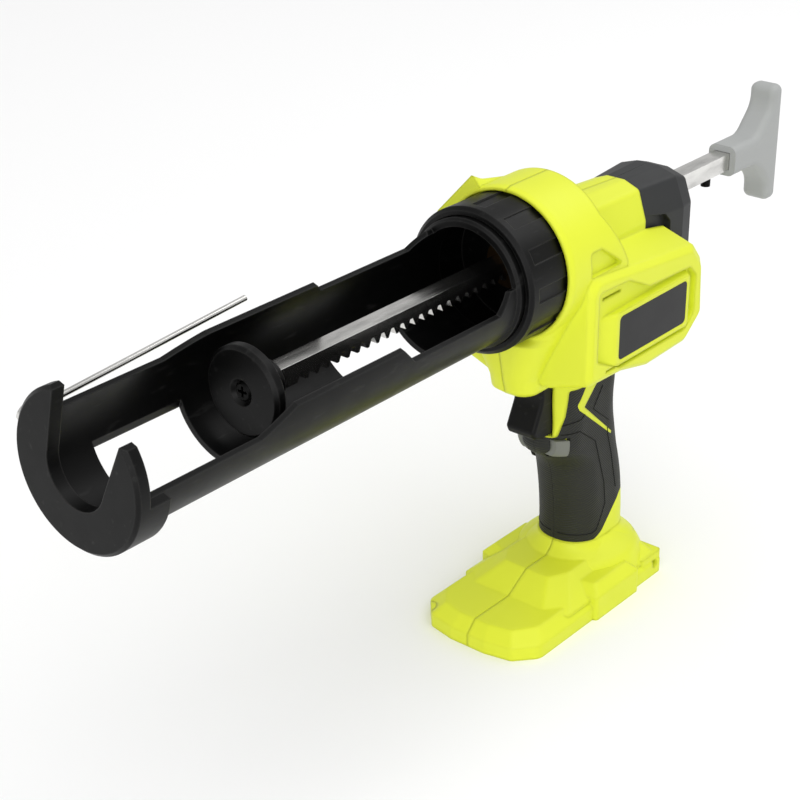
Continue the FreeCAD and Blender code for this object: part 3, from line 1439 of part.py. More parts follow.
def make_housing(skin_zone):
    core = handle_form().cut(skin_zone)
    outer = joined([shroud_form(), neck_form(), bulge_form(), lobe_form(), core, foot_form()])
    panel, platform, vents = recess_cut()
    outer = outer.cut(both_sides(panel)).fuse(both_sides(platform))
    below = block(foot_rear * 2, foot_front * 2, -foot_half_width, foot_half_width, 0, post_depth)
    inside = handle_form(wall + grip_skin).cut(below)
    room = joined([neck_form(wall), bulge_form(wall), lobe_form(wall), inside])
    shell = outer.cut(room)
    bosses = joined([screw_boss(place) for place in screw_places().values()])
    shell = shell.fuse(bosses.common(outer))
    cuts = [screw_hole(place) for place in screw_places().values()] + [screw_hole(cover_screw_place())]
    cuts.append(both_sides(vents))
    cuts.append(cylinder_x(spigot_radius + turn_gap, spigot_rear - turn_gap, shroud_front * 2))
    cuts.append(cylinder_x(spigot_flange_radius + turn_gap, spigot_rear - turn_gap,
                           spigot_rear + spigot_flange + turn_gap))
    cuts.append(cylinder_x(collar_radius + collar_seat, collar_rear - collar_seat, shroud_front * 2))
    cuts.append(gear_case_solid(turn_gap))
    cuts.append(cover_form())
    cuts.append(trigger_slot())
    cuts.append(button_window(button_gap))
    cuts.append(block(socket_rear, socket_front, -socket_half_width, socket_half_width, -overcut,
                      socket_depth))
    cuts.append(post_form(0, -overcut, post_depth + terminal_height))
    cuts.append(badge_form(parting_gap / 2, recess_depth))
    lug_y = foot_half_width - lanyard_inset
    cuts.append(cylinder_y(lanyard_radius, lanyard_x, lanyard_z, lug_y, pad_half_width))
    cuts.append(cylinder_x(lanyard_radius, foot_rear * 2, lanyard_x, lug_y, lanyard_z))
    for cut in cuts:
        shell = shell.cut(cut)
    left, right = halves(shell)
    shape_piece("housing_left", left)
    shape_piece("housing_right", right)


def make_grips(skin_zone):
    skin = handle_form().common(skin_zone).cut(trigger_slot()).cut(button_window(button_gap))
    skin = skin.cut(both_sides(button_window(button_gap * 3, button_frame)))
    for place in screw_places().values():
        skin = skin.cut(screw_hole(place))
    left, right = halves(skin)
    shape_piece("grip_left", left)
    shape_piece("grip_right", right)


# Pieces inside and on the housing

def make_case_screws():
    head = -case_screw_seat - case_screw_head_depth
    tip = case_screw_length - case_screw_seat
    outline = [(head, 0), (head, case_screw_head_radius * 0.8),
               (head + case_screw_head_depth / 3, case_screw_head_radius),
               (-case_screw_seat, case_screw_head_radius), (-case_screw_seat, case_screw_shank_radius),
               (tip - case_screw_shank_radius, case_screw_shank_radius), (tip, 0)]
    slot = case_screw_head_radius * 0.14
    arm = case_screw_head_radius * 0.6
    places = screw_places()
    places["case_screw_cover"] = cover_screw_place()
    for label, (x, z) in places.items():
        body = turned_piece(label, outline, x, 0, z, V(0, 0, 1), 90)
        for across, along in ((slot, arm), (arm, slot)):
            cross = new_sketch(body, "YZ_Plane", head)
            draw_outline(cross, box_points(-across, across, -along, along))
            pocket(body, cross, case_screw_head_depth * 0.6, reverse=True)


def make_trigger():
    depth = trigger_front - trigger_rear
    height = trigger_top - trigger_bottom
    half = trigger_half_width
    corners = [(trigger_rear + depth * 0.73, trigger_top, edge_round),
               (trigger_rear + depth * 0.68, trigger_bottom + height * 0.6, trigger_curve),
               (trigger_front, trigger_bottom + height * 0.19, trigger_round),
               (trigger_front - depth * 0.08, trigger_bottom + height * 0.08, trigger_round),
               (trigger_rear + depth * 0.58, trigger_bottom + height * 0.02, trigger_curve / 2),
               (trigger_rear, trigger_bottom, trigger_round), (trigger_rear, trigger_top, edge_round)]
    form = prism(corners, across_y(-half), y=half * 2)

    def is_front_rim(edge):
        ends = [vertex.Point for vertex in edge.Vertexes]
        on_side = all(abs(abs(end.y) - float(half)) < touch for end in ends)
        below_top = min(end.z for end in ends) < float(trigger_top) - touch
        return on_side and below_top and max(end.x for end in ends) > float(trigger_rear) + touch

    form = form.makeFillet(float(trigger_round) * 0.8, [edge for edge in form.Edges if is_front_rim(edge)])
    stem = cylinder_x(trigger_stem_radius, trigger_rear - trigger_stem_length, trigger_rear + overcut,
                      z=trigger_stem_height)
    shape_piece("trigger", form.fuse(stem))


def make_switch():
    body = new_body("switch_module")
    side = new_sketch(body, "XZ_Plane")
    rear = switch_front - switch_length
    top = switch_bottom + switch_height
    notch = switch_height / 4
    draw_outline(side, [(rear, switch_bottom), (switch_front, switch_bottom), (switch_front, top - notch),
                        (switch_front - notch, top), (rear, top)])
    pad(body, side, switch_half_width * 2, both_sides=True)
    bore = new_sketch(body, "YZ_Plane", switch_front)
    draw_circle(bore, trigger_stem_radius + running_fit, 0, trigger_stem_height)
    reach = trigger_stem_length - (trigger_rear - switch_front) + trigger_travel
    pocket(body, bore, reach + trigger_gap)


def make_button():
    """Bar across the handle; its ends follow the handle's side and stand a little proud of it."""
    half_length = button_length / 2
    half_height = button_height / 2
    reach = handle_half_width * 2
    bar = block(button_x - half_length, button_x + half_length, -reach, reach, button_z - half_height,
                button_z + half_height)
    along = [edge for edge in bar.Edges if abs(edge.tangentAt(edge.FirstParameter).y) > 0.9]
    bar = bar.makeFillet(float(button_gap) * 2, along).common(handle_form(-button_proud))
    bar.translate(V(0, float(button_rest), 0))
    shape_piece("lock_off_button", bar)


def make_terminals():
    slack = parting_gap
    base = post_form(slack, post_depth, post_depth + terminal_height - slack)
    blades = []
    middle = (post_front + post_rear) / 2
    pitch = post_half_width * 0.6
    half = blade_thickness / 2
    for step in (-1, 0, 1):
        y = pitch * step
        blades.append(block(middle - blade_length / 2, middle + blade_length / 2, y - half, y + half,
                            post_depth - blade_length, post_depth + terminal_height / 2))
    shape_piece("terminal_block", base.cut(joined(blades)))
    shape_piece("battery_terminals", Part.makeCompound(blades))


def make_badge():
    shape_piece("badge_plate", badge_form(0, badge_thickness))


def main():
    make_rack_rod()
    make_plunger()
    make_plunger_screw()
    make_pull_handle()
    make_set_screw()
    make_stop_pin()
    make_carriage()
    make_nose_cap()
    make_puncture_wire()
    make_wire_pin()
    make_collar()
    make_spigot()
    make_guide_bush("front_guide_bush", spigot_rear, guide_length)
    make_guide_bush("rear_guide_bush", rear_cover_rear, guide_rear_length)
    make_gears()
    make_drive()
    make_gear_case()
    skin_zone = grip_zone()
    make_rear_covers()
    make_grips(skin_zone)
    make_housing(skin_zone)
    make_case_screws()
    make_trigger()
    make_switch()
    make_button()
    make_terminals()
    make_badge()
    doc.recompute()
    for item in doc.Objects:
        if "Invalid" in item.State or "Error" in item.State:
            raise RuntimeError(f"{item.Name} did not build: {item.State}")
    for piece in pieces:
        if piece.Shape.isNull() or not piece.Shape.isValid():
            raise RuntimeError(f"{piece.Label} has no valid solid")
    os.makedirs("parts", exist_ok=True)
    for piece in pieces:
        piece.Shape.exportStep(f"parts/{piece.Label}.step")


main()
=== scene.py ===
import math

import bpy
from mathutils import Matrix, Vector


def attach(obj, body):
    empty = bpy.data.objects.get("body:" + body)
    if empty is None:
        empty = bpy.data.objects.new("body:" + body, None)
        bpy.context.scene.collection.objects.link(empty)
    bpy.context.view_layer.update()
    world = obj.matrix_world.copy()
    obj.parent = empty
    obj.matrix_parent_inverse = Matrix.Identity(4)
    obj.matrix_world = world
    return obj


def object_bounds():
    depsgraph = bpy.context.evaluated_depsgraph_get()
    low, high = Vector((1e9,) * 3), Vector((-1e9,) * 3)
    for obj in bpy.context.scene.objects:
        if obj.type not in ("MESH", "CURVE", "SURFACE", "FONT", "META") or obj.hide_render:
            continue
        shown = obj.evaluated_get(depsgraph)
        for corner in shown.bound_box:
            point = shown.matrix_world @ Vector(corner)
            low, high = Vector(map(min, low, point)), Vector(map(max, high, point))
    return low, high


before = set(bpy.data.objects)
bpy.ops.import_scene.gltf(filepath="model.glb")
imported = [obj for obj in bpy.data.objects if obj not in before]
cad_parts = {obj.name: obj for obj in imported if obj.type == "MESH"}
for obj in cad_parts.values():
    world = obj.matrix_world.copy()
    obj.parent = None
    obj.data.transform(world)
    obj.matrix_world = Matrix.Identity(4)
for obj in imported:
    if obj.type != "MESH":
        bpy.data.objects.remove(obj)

bl_info = {
    "name": "Cordless caulking tool",
    "version": (1, 2, 0),
    "blender": (4, 5, 0),
    "location": "View3D > Sidebar > Caulking tool",
    "description": "Finishes, grip lines, foot skirt and stage for a cordless caulking tool",
    "category": "Object",
}

MM = 0.001
CAD_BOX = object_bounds()
SIDES = {"left": 1, "right": -1}

# Moulded plastics share their index and the fine grain of a spark-eroded mould
PLASTIC_IOR = 1.5
MOULD_GRAIN = 0.6 * MM
MOULD_HEIGHT = 0.05 * MM


# Settings

def to_linear(code):
    """Linear red, green and blue of an sRGB hex colour."""
    parts = [int(code[i:i + 2], 16) / 255 for i in (1, 3, 5)]
    return tuple(c / 12.92 if c <= 0.04045 else ((c + 0.055) / 1.055) ** 2.4 for c in parts)


def colour(label, code, words):
    return bpy.props.FloatVectorProperty(name=label, description=words, subtype="COLOR", size=3,
                                         min=0, max=1, default=to_linear(code))


def length(label, value, words):
    return bpy.props.FloatProperty(name=label, description=words, unit="LENGTH", default=value)


def angle(label, degrees, words):
    return bpy.props.FloatProperty(name=label, description=words, unit="ROTATION",
                                   default=math.radians(degrees))


def number(label, value, words):
    return bpy.props.FloatProperty(name=label, description=words, default=value)


def place(label, value, words):
    return bpy.props.FloatVectorProperty(name=label, description=words, subtype="TRANSLATION", unit="LENGTH",
                                         default=value)


class CaulkColours(bpy.types.PropertyGroup):
    """Colours of the finishes."""
    shell: colour("Shell", "#DEE638", "Lime green of the moulded shells")
    shell_shade: colour("Shell shade", "#D8E131", "Deeper lime where the moulding's colour varies")
    cover: colour("Rear cover", "#28292A", "Dark grey of the rear cover")
    plate: colour("Plate", "#080809", "Near black of the bare plate on the left side")
    grip: colour("Grip", "#242522", "Dark grey of the soft grip")
    # Near-black of the thin tubes laid in the grip's grooves as painted shade
    grip_groove_shade: colour("Grip lines", "#0B0B0B", "Shade in the lines of the grip")
    carriage: colour("Carriage", "#050505", "Black of the carriage, collar and nose")
    # Grey of the real scuffs, also painted on the black mouldings' edges as a highlight
    scuff_and_edge_highlight: colour("Carriage scuffs", "#3C3C3B", "Grey of rubbed places on the black mouldings")
    trigger: colour("Trigger", "#0B0B0B", "Black of the trigger")
    pull: colour("Pull handle", "#A5A7A6", "Light grey of the pull handle")
    button: colour("Lock-off button", "#74766F", "Mid grey of the lock-off button")
    steel: colour("Steel", "#E2E1DE", "Bright zinc plate of the rod and the wire")
    oxide: colour("Black oxide", "#1E1E1E", "Blackened steel of the screws and the stop pin")
    gears: colour("Gears", "#9A9A9C", "Grey of the cut gears")
    can: colour("Motor can", "#B4B4B4", "Pale grey of the motor and the gearbox")
    casting: colour("Gear case", "#B9BABC", "Pale grey of the cast gear case")
    bronze: colour("Bushes", "#4B3A26", "Brown of the oiled bushes")
    brass: colour("Contacts", "#D2AE62", "Yellow of the battery contacts")


class CaulkGrip(bpy.types.PropertyGroup):
    """Lines and ribs of the soft grip, and the handle that they lie on."""
    line_radius: length("Line radius", 0.28 * MM, "Half the thickness of the grip's outlines")
    rib_pitch: length("Rib pitch", 1.3 * MM, "Spacing of the fine slanted ribs")
    half_width: length("Half width", 17.2 * MM, "Half the width of the handle")
    corner: length("Corner", 16.2 * MM, "Rounding of the handle's front")


class CaulkFoot(bpy.types.PropertyGroup):
    """Skirt that blends the handle into the foot, and the plugs in the foot's screw wells."""
    skirt_top: length("Skirt top", 28.5 * MM, "Height of the skirt's upper edge")
    top_front: length("Top front", -8.5 * MM, "Front of the skirt's upper edge")
    top_rear: length("Top rear", -55.8 * MM, "Rear of the skirt's upper edge")
    top_half_width: length("Top half width", 17.7 * MM, "Half the width of the skirt's upper edge")
    skirt_bottom: length("Skirt bottom", 8 * MM, "Height of the skirt's lower edge")
    bottom_front: length("Bottom front", 18 * MM, "Front of the skirt's lower edge")
    bottom_rear: length("Bottom rear", -80.8 * MM, "Rear of the skirt's lower edge before the cut")
    bottom_half_width: length("Bottom half width", 33.3 * MM, "Half the width of the skirt's lower edge")
    shoulder: number("Shoulder", 0.4, "Share of the way down where the skirt's hollow ends")
    shoulder_growth: number("Shoulder growth", 0.72, "Share of the skirt's growth that is reached there")
    hollow: number("Hollow", 1.25, "How hollow the skirt is above its shoulder, with 1 for straight")
    skirt_wall: length("Skirt wall", 1.2 * MM, "Thickness of the skirt")
    seam: length("Seam", 0.1 * MM, "Half the gap between the skirt's two halves")
    heel: length("Heel", -59.25 * MM, "Flat rear face of the skirt")
    lug_top: length("Lug top", 12 * MM, "Height of the rear lugs")
    lug_side: length("Lug side", 33.3 * MM, "Distance of the lugs' outer sides from the middle")
    plug_edge: length("Plug edge", 0.3 * MM, "Eased edge of the heel's plug")


class CaulkStage(bpy.types.PropertyGroup):
    """Camera and light of the stage."""
    eye: place("Eye", (0.66050, 0.46495, 0.50635), "Place of the camera")
    target: place("Target", (0.11083, 0, 0.15318), "Point in the middle of the picture")
    roll: angle("Roll", -0.548, "Turn of the camera about its view line")
    lens: number("Lens", 82.83, "Focal length in millimetres")
    sensor: number("Sensor", 36, "Width of the camera's sensor in millimetres")
    sky: number("Sky", 0.6, "Strength of the even light from all round")
    backdrop: number("Backdrop", 0.88, "Brightness of the sky as the camera sees it")
    floor: colour("Floor", "#F6F6F6", "Pale grey of the floor")
    floor_size: length("Floor size", 9, "Side of the square floor")
    lit_point: place("Lit point", (0.05, 0, 0.15), "Point that the lamps face")
    key_from: place("Key from", (0.4, 0.5, 1.7), "Where the broad key light comes from")
    key_width: angle("Key width", 70, "Angle that the key light seems to fill")
    key_power: number("Key power", 1.2, "Strength of the key light")
    fill_from: place("Fill from", (1.1, 0.7, 0.5), "Place of the low soft box in front")
    fill_size: length("Fill size", 0.8, "Side of the soft box in front")
    fill_power: number("Fill power", 5, "Power of the soft box in front")
    back_from: place("Back from", (-1.0, 0.3, 1.3), "Place of the high soft box behind")
    back_size: length("Back size", 1.0, "Side of the soft box behind")
    back_power: number("Back power", 5, "Power of the soft box behind")


# Parts of materials

def add_node(tree, kind, settings=(), links=()):
    """Adds a node: settings are its inputs or properties by name, links are its inputs' sources."""
    node = tree.nodes.new(kind)
    for name, value in dict(settings).items():
        if hasattr(node, name):
            setattr(node, name, value)
        else:
            node.inputs[name].default_value = value
    for name, source in dict(links).items():
        tree.links.new(source, node.inputs[name])
    return node


def new_material(name, settings):
    """A material with one Principled shader, its sockets set by name."""
    material = bpy.data.materials.new(name)
    material.use_nodes = True
    tree = material.node_tree
    shader = tree.nodes["Principled BSDF"]
    for socket, value in settings.items():
        shader.inputs[socket].default_value = value
    return material, tree, shader


def soften_edges(tree, shader, radius, bump=None, height=0, strength=0.2):
    """Rounds the look of sharp edges by a radius and lays a fine bump of a real height on top."""
    edge = add_node(tree, "ShaderNodeBevel", {"samples": 6, "Radius": radius})
    normal = edge.outputs["Normal"]
    if bump is not None:
        relief = add_node(tree, "ShaderNodeBump", {"Strength": strength, "Distance": height},
                          {"Height": bump, "Normal": normal})
        normal = relief.outputs["Normal"]
    tree.links.new(normal, shader.inputs["Normal"])


def grain(tree, size, detail=2.0, stretch=(1, 1, 1)):
    """Noise over the object, its grain of a real size, drawn out along an axis by a small stretch."""
    where = add_node(tree, "ShaderNodeTexCoord")
    drawn = add_node(tree, "ShaderNodeMapping", {"Scale": stretch}, {"Vector": where.outputs["Object"]})
    noise = add_node(tree, "ShaderNodeTexNoise", {"Scale": 1 / size, "Detail": detail},
                     {"Vector": drawn.outputs["Vector"]})
    return noise.outputs["Fac"]


def spread(tree, source, low, high, start=0.0, end=1.0):
    """Maps a stretch of a texture's values to a range."""
    limits = {"From Min": start, "From Max": end, "To Min": low, "To Max": high}
    span = add_node(tree, "ShaderNodeMapRange", limits, {"Value": source})
    return span.outputs["Result"]


def vary_roughness(tree, shader, texture, low, high):
    """Lets a texture carry the roughness between two values."""
    tree.links.new(spread(tree, texture, low, high), shader.inputs["Roughness"])


def two_tone(tree, shader, amount, first, second):
    """Blends two colours by a texture."""
    blend = add_node(tree, "ShaderNodeMix", {"data_type": "RGBA"})
    # The colour sockets of the mix node, which share their names with its number sockets
    factor, first_colour, second_colour, result = 0, 6, 7, 2
    tree.links.new(amount, blend.inputs[factor])
    blend.inputs[first_colour].default_value = (*first, 1)
    blend.inputs[second_colour].default_value = (*second, 1)
    tree.links.new(blend.outputs[result], shader.inputs["Base Color"])


def tinted(tone, strength):
    """A colour made lighter or darker."""
    return [c * strength for c in tone]


def painted_edge_highlight(tree, radius):
    """Strength of a painted highlight near edges, where a rounded normal turns away from the face's own."""
    soft = add_node(tree, "ShaderNodeBevel", {"samples": 4, "Radius": radius * 2})
    face = add_node(tree, "ShaderNodeNewGeometry")
    along = add_node(tree, "ShaderNodeVectorMath", {"operation": "DOT_PRODUCT"},
                     {0: soft.outputs["Normal"], 1: face.outputs["Normal"]})
    most_highlight, sharp, flat = 0.5, 0.8, 0.98
    return spread(tree, along.outputs["Value"], most_highlight, 0, sharp, flat)


# Materials

def moulded_nylon(name, tone, shade, rough, edge=0.7 * MM):
    """Glass-filled nylon from a spark-eroded mould: satin, with a fine even grain, slow changes of tone
    along the flow of the melt, and softly rounded edges."""
    flow, sheen, swing = 30 * MM, 14 * MM, 0.06
    material, tree, shader = new_material(name, {"IOR": PLASTIC_IOR, "Specular IOR Level": 0.3})
    two_tone(tree, shader, grain(tree, flow), tone, shade)
    vary_roughness(tree, shader, grain(tree, sheen), rough - swing, rough + swing)
    soften_edges(tree, shader, edge, grain(tree, MOULD_GRAIN), MOULD_HEIGHT)
    return material


def scuffed_nylon_edge_highlight(name, tone, scuff_and_highlight, rough, edge=0.6 * MM):
    """Black nylon that cartridges have slid along: satin, with thin pale scuffs drawn out lengthwise, and
    edges painted paler as a highlight."""
    scuff_size, scuff_detail, scuff_stretch = 3 * MM, 5.0, (0.25, 1, 1)
    most_scuff, scuff_start, scuff_end = 0.35, 0.62, 0.8
    sheen, sheen_detail, swing = 9 * MM, 3.0, 0.08
    material, tree, shader = new_material(name, {"IOR": PLASTIC_IOR, "Specular IOR Level": 0.16})
    scratches = grain(tree, scuff_size, scuff_detail, scuff_stretch)
    scuffs = spread(tree, scratches, 0, most_scuff, scuff_start, scuff_end)
    # The scuffs are wear; the paler edges are a painted highlight
    scuffs_and_edge_highlight = add_node(tree, "ShaderNodeMath", {"operation": "MAXIMUM"},
                    {0: scuffs, 1: painted_edge_highlight(tree, edge)})
    two_tone(tree, shader, scuffs_and_edge_highlight.outputs["Value"], tone, scuff_and_highlight)
    vary_roughness(tree, shader, grain(tree, sheen, sheen_detail), rough - swing, rough + swing)
    soften_edges(tree, shader, edge, grain(tree, MOULD_GRAIN), MOULD_HEIGHT)
    return material


def soft_overmould(name, tone, pitch):
    """Thermoplastic rubber moulded over the handle: matt, with fine slanted ribs that give a hold."""
    blotch, sheen, edge = 12 * MM, 6 * MM, 0.5 * MM
    slant, rib_height, rib_strength = math.radians(62), 0.3 * MM, 0.55
    material, tree, shader = new_material(name, {"IOR": PLASTIC_IOR, "Specular IOR Level": 0.25})
    two_tone(tree, shader, grain(tree, blotch, detail=3.0), tone, tinted(tone, 1.35))
    vary_roughness(tree, shader, grain(tree, sheen), low=0.5, high=0.64)
    where = add_node(tree, "ShaderNodeTexCoord")
    turned = add_node(tree, "ShaderNodeMapping", {"Rotation": (0, slant, 0)},
                      {"Vector": where.outputs["Object"]})
    # A wave texture repeats every 2 pi / 20 of its scaled coordinate
    ribs = add_node(tree, "ShaderNodeTexWave", {"Scale": math.tau / 20 / pitch},
                    {"Vector": turned.outputs["Vector"]})
    soften_edges(tree, shader, edge, ribs.outputs["Fac"], rib_height, rib_strength)
    return material


def plated_steel(name, tone, rough):
    """Plated steel, drawn lengthwise: bright, with soft streaks along it and thumbed, duller places."""
    thumbed, streak, edge = 7 * MM, 2.5 * MM, 0.3 * MM
    thumbed_start, thumbed_end, thumbed_stretch = 0.4, 0.75, (0.3, 1, 1)
    material, tree, shader = new_material(name, {"Metallic": 1})
    patches = grain(tree, thumbed, detail=3.0, stretch=thumbed_stretch)
    dulled = spread(tree, patches, 0, 1, thumbed_start, thumbed_end)
    two_tone(tree, shader, dulled, tone, tinted(tone, 0.62))
    streaks = grain(tree, streak, stretch=(0.05, 1, 1))
    vary_roughness(tree, shader, streaks, low=rough - 0.08, high=rough + 0.1)
    soften_edges(tree, shader, edge)
    return material


def bare_metal(name, tone, rough):
    """Machined or sintered metal inside the housing: dull, with a fine even grain."""
    speckle, sheen, swing = 1.2 * MM, 0.8 * MM, 0.1
    material, tree, shader = new_material(name, {"Metallic": 1})
    two_tone(tree, shader, grain(tree, speckle), tone, tinted(tone, 0.75))
    vary_roughness(tree, shader, grain(tree, sheen), rough - swing, rough + swing)
    return material


def dress(material, *names):
    """Gives CAD nodes a material in place of the one they came with."""
    for name in names:
        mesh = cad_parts[name].data
        mesh.materials.clear()
        mesh.materials.append(material)


# Lines on the grip

def around(grip, front, level, degrees):
    """Point on the handle's rounded front at a level, by the angle round from straight ahead."""
    turn = math.radians(degrees)
    return Vector((front * MM - grip.corner * (1 - math.cos(turn)),
                   grip.half_width - grip.corner * (1 - math.sin(turn)), level * MM))


def beside(grip, *spots):
    """Points on the flat of the handle's left side, by their X and Z in millimetres."""
    return [Vector((x * MM, grip.half_width, z * MM)) for x, z in spots]


def grip_outlines(grip):
    """Corners of the grip's lines on its left side: palm panel, web above it and two lines behind."""
    brow_front, brow_level = 9.6, 97.4
    base_front, base_level = -8.9, 33
    web_front = 10
    palm = [around(grip, brow_front, brow_level, degrees) for degrees in (44, 62, 82)]
    palm += beside(grip, (-18, 87), (-27.3, 60), (-29.2, 47), (-22.5, 34))
    palm += [around(grip, base_front, base_level, degrees) for degrees in (70, 52, 36, 20, 4)]
    web = [around(grip, web_front, 102.4, 46), around(grip, web_front, 103.2, 66)]
    web += beside(grip, (-5, 103.6), (-8, 105.6))
    rear_edge = beside(grip, (-27.6, 90), (-32.4, 75.4), (-38, 53))
    upper_notch = beside(grip, (-22.5, 116), (-15, 105.7), (-29, 94.4))
    return [palm, web, rear_edge, upper_notch]


def draw_path(corners):
    """A wire through its corners, drawn by extruding a point and left selected in edit mode."""
    bpy.ops.object.select_all(action="DESELECT")
    bpy.ops.mesh.primitive_plane_add(size=MM)
    bpy.ops.object.mode_set(mode="EDIT")
    bpy.ops.mesh.select_all(action="SELECT")
    bpy.ops.mesh.merge(type="CENTER")
    bpy.ops.transform.translate(value=corners[0])
    for last, here in zip(corners, corners[1:]):
        bpy.ops.mesh.extrude_region_move(TRANSFORM_OT_translate={"value": here - last})
    bpy.ops.mesh.select_all(action="SELECT")
    return bpy.context.object


def lay_line(node, corners, radius):
    """Draws a line through its corners, lays it on a node's surface and gives it thickness."""
    line = draw_path(corners)
    bpy.ops.mesh.subdivide(number_cuts=3)
    bpy.ops.object.mode_set(mode="OBJECT")
    bpy.ops.object.modifier_add(type="SHRINKWRAP")
    wrap = line.modifiers[0]
    wrap.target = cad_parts[node]
    bpy.ops.object.modifier_apply(modifier=wrap.name)
    bpy.ops.object.convert(target="CURVE")
    line.data.bevel_depth = radius
    line.data.bevel_resolution = 1
    line.data.use_fill_caps = True
    bpy.ops.object.convert(target="MESH")
    return line


def join_lines(name, lines):
    """Makes one smooth piece of several lines."""
    bpy.ops.object.select_all(action="DESELECT")
    for line in lines:
        line.select_set(True)
    bpy.context.view_layer.objects.active = lines[0]
    bpy.ops.object.join()
    lines[0].name = name
    bpy.ops.object.shade_smooth()
    return lines[0]


# Skirt of the foot

def between(first, last, share):
    """The value a share of the way from one to another."""
    return first + (last - first) * share


def skirt_growth(foot, share):
    """How far the skirt has spread, a share of the way down: hollow to its shoulder, then rounding off."""
    if share < foot.shoulder:
        return foot.shoulder_growth * (share / foot.shoulder) ** foot.hollow
    below = (share - foot.shoulder) / (1 - foot.shoulder)
    return between(foot.shoulder_growth, 1, math.sin(below * math.pi / 2))


def skirt_ring(foot, share):
    """Centre, half length and half width of the skirt's outline, a share of the way down."""
    growth = skirt_growth(foot, share)
    front = between(foot.top_front, foot.bottom_front, growth)
    rear = between(foot.top_rear, foot.bottom_rear, growth)
    half_width = between(foot.top_half_width, foot.bottom_half_width, growth)
    level = between(foot.skirt_top, foot.skirt_bottom, share)
    return Vector(((front + rear) / 2, 0, level)), (front - rear) / 2, half_width


def draw_top_ring(centre, half_length, half_width):
    """A circle drawn out lengthwise to the handle's outline, left selected in edit mode."""
    bpy.ops.object.select_all(action="DESELECT")
    bpy.ops.mesh.primitive_circle_add(vertices=96, radius=half_width)
    ring = bpy.context.object
    bpy.ops.object.mode_set(mode="EDIT")
    bpy.ops.mesh.select_mode(type="VERT")
    for way in (1, -1):
        bpy.ops.object.mode_set(mode="OBJECT")
        for vertex in ring.data.vertices:
            vertex.select = vertex.co.x * way > 0
        bpy.ops.object.mode_set(mode="EDIT")
        bpy.ops.transform.translate(value=((half_length - half_width) * way, 0, 0))
    bpy.ops.mesh.select_all(action="SELECT")
    bpy.ops.transform.translate(value=centre)
    return ring


def draw_skirt(foot):
    """A ring round the handle, drawn down ring by ring, then cut at the heel and closed there."""
    steps = 14
    centre, half_length, half_width = skirt_ring(foot, 0)
    skirt = draw_top_ring(centre, half_length, half_width)
    for step in range(1, steps + 1):
        last_centre, last_length, last_width = centre, half_length, half_width
        centre, half_length, half_width = skirt_ring(foot, step / steps)
        bpy.ops.mesh.extrude_region_move(TRANSFORM_OT_translate={"value": centre - last_centre})
        bpy.ops.transform.resize(value=(half_length / last_length, half_width / last_width, 1),
                                 center_override=centre)
    bpy.ops.mesh.select_all(action="SELECT")
    bpy.ops.mesh.bisect(plane_co=(foot.heel, 0, 0), plane_no=(-1, 0, 0), clear_outer=True)
    bpy.ops.mesh.edge_face_add()
    bpy.ops.mesh.select_all(action="SELECT")
    bpy.ops.mesh.normals_make_consistent(inside=False)
    return skirt


def halve_skirt(foot, sign):
    """The half of the skirt on one side of the seam, given its wall."""
    skirt = draw_skirt(foot)
    bpy.ops.mesh.bisect(plane_co=(0, foot.seam * sign, 0), plane_no=(0, -sign, 0), clear_outer=True)
    bpy.ops.object.mode_set(mode="OBJECT")
    bpy.ops.object.modifier_add(type="SOLIDIFY")
    wall = skirt.modifiers[0]
    wall.thickness = foot.skirt_wall
    bpy.ops.object.modifier_apply(modifier=wall.name)
    return skirt


# Plugs of the foot

def draw_bar(section, end):
    """A bar: a section filled and drawn out along Y to an end, left selected in edit mode."""
    bar = draw_path(section)
    bpy.ops.mesh.edge_face_add()
    bpy.ops.mesh.extrude_region_move(TRANSFORM_OT_translate={"value": (0, end - section[0].y, 0)})
    bpy.ops.mesh.select_all(action="SELECT")
    bpy.ops.mesh.normals_make_consistent(inside=False)
    return bar


def trim(point, normal):
    """Cuts away what lies beyond a plane, closes the cut and leaves the rest selected."""
    bpy.ops.mesh.bisect(plane_co=point, plane_no=normal, use_fill=True, clear_outer=True)
    bpy.ops.mesh.select_all(action="SELECT")


def draw_heel_plug(foot):
    """Rib that closes the well of the heel's screw, level with the lug's side and sloping up above it."""
    inner, outer = -11.5 * MM, -foot.lug_side
    rear, slope_end, front = -59.3 * MM, -58.2 * MM, -52.5 * MM
    low, high = 6.5 * MM, 13.6 * MM
    section = [(rear, low), (rear, foot.lug_top), (slope_end, high), (front, high), (front, low)]
    plug = draw_bar([Vector((x, inner, z)) for x, z in section], outer)
    trim((0, outer, foot.lug_top), (0, -1, 1))
    bpy.ops.mesh.bevel(offset=foot.plug_edge, segments=2)
    return plug


def draw_toe_plug():
    """Round plug in the well of the toe's screw, trimmed to the foot's slanted corner and upper bevel."""
    well, radius, sides = Vector((52.8, 0, 5.6)) * MM, 3.4 * MM, 24
    inner, outer = -15 * MM, -38 * MM
    toe, corner = Vector((58.8, -24.7, 7)) * MM, Vector((48.08, -34.3, 7)) * MM
    bevel_rise, bevel_draw = 6, 8.47
    section = []
    for step in range(sides):
        turn = math.tau * step / sides
        section.append(well + Vector((math.cos(turn) * radius, inner, math.sin(turn) * radius)))
    plug = draw_bar(section, outer)
    along = corner - toe
    slant = Vector((-along.y, along.x, 0)).normalized()
    bevel = slant * bevel_rise + Vector((0, 0, bevel_draw))
    trim(corner, slant)
    trim(corner, bevel.normalized())
    bpy.ops.mesh.normals_make_consistent(inside=False)
    return plug


def finish_foot_piece(piece, name):
    """Names and shades a piece of the foot and gives it the shells' finish."""
    bpy.ops.object.mode_set(mode="OBJECT")
    piece.name = name
    bpy.ops.object.shade_smooth_by_angle(angle=math.radians(35))
    piece.data.materials.append(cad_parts["housing_left"].data.materials[0])
    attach(piece, "housing")


# Operators

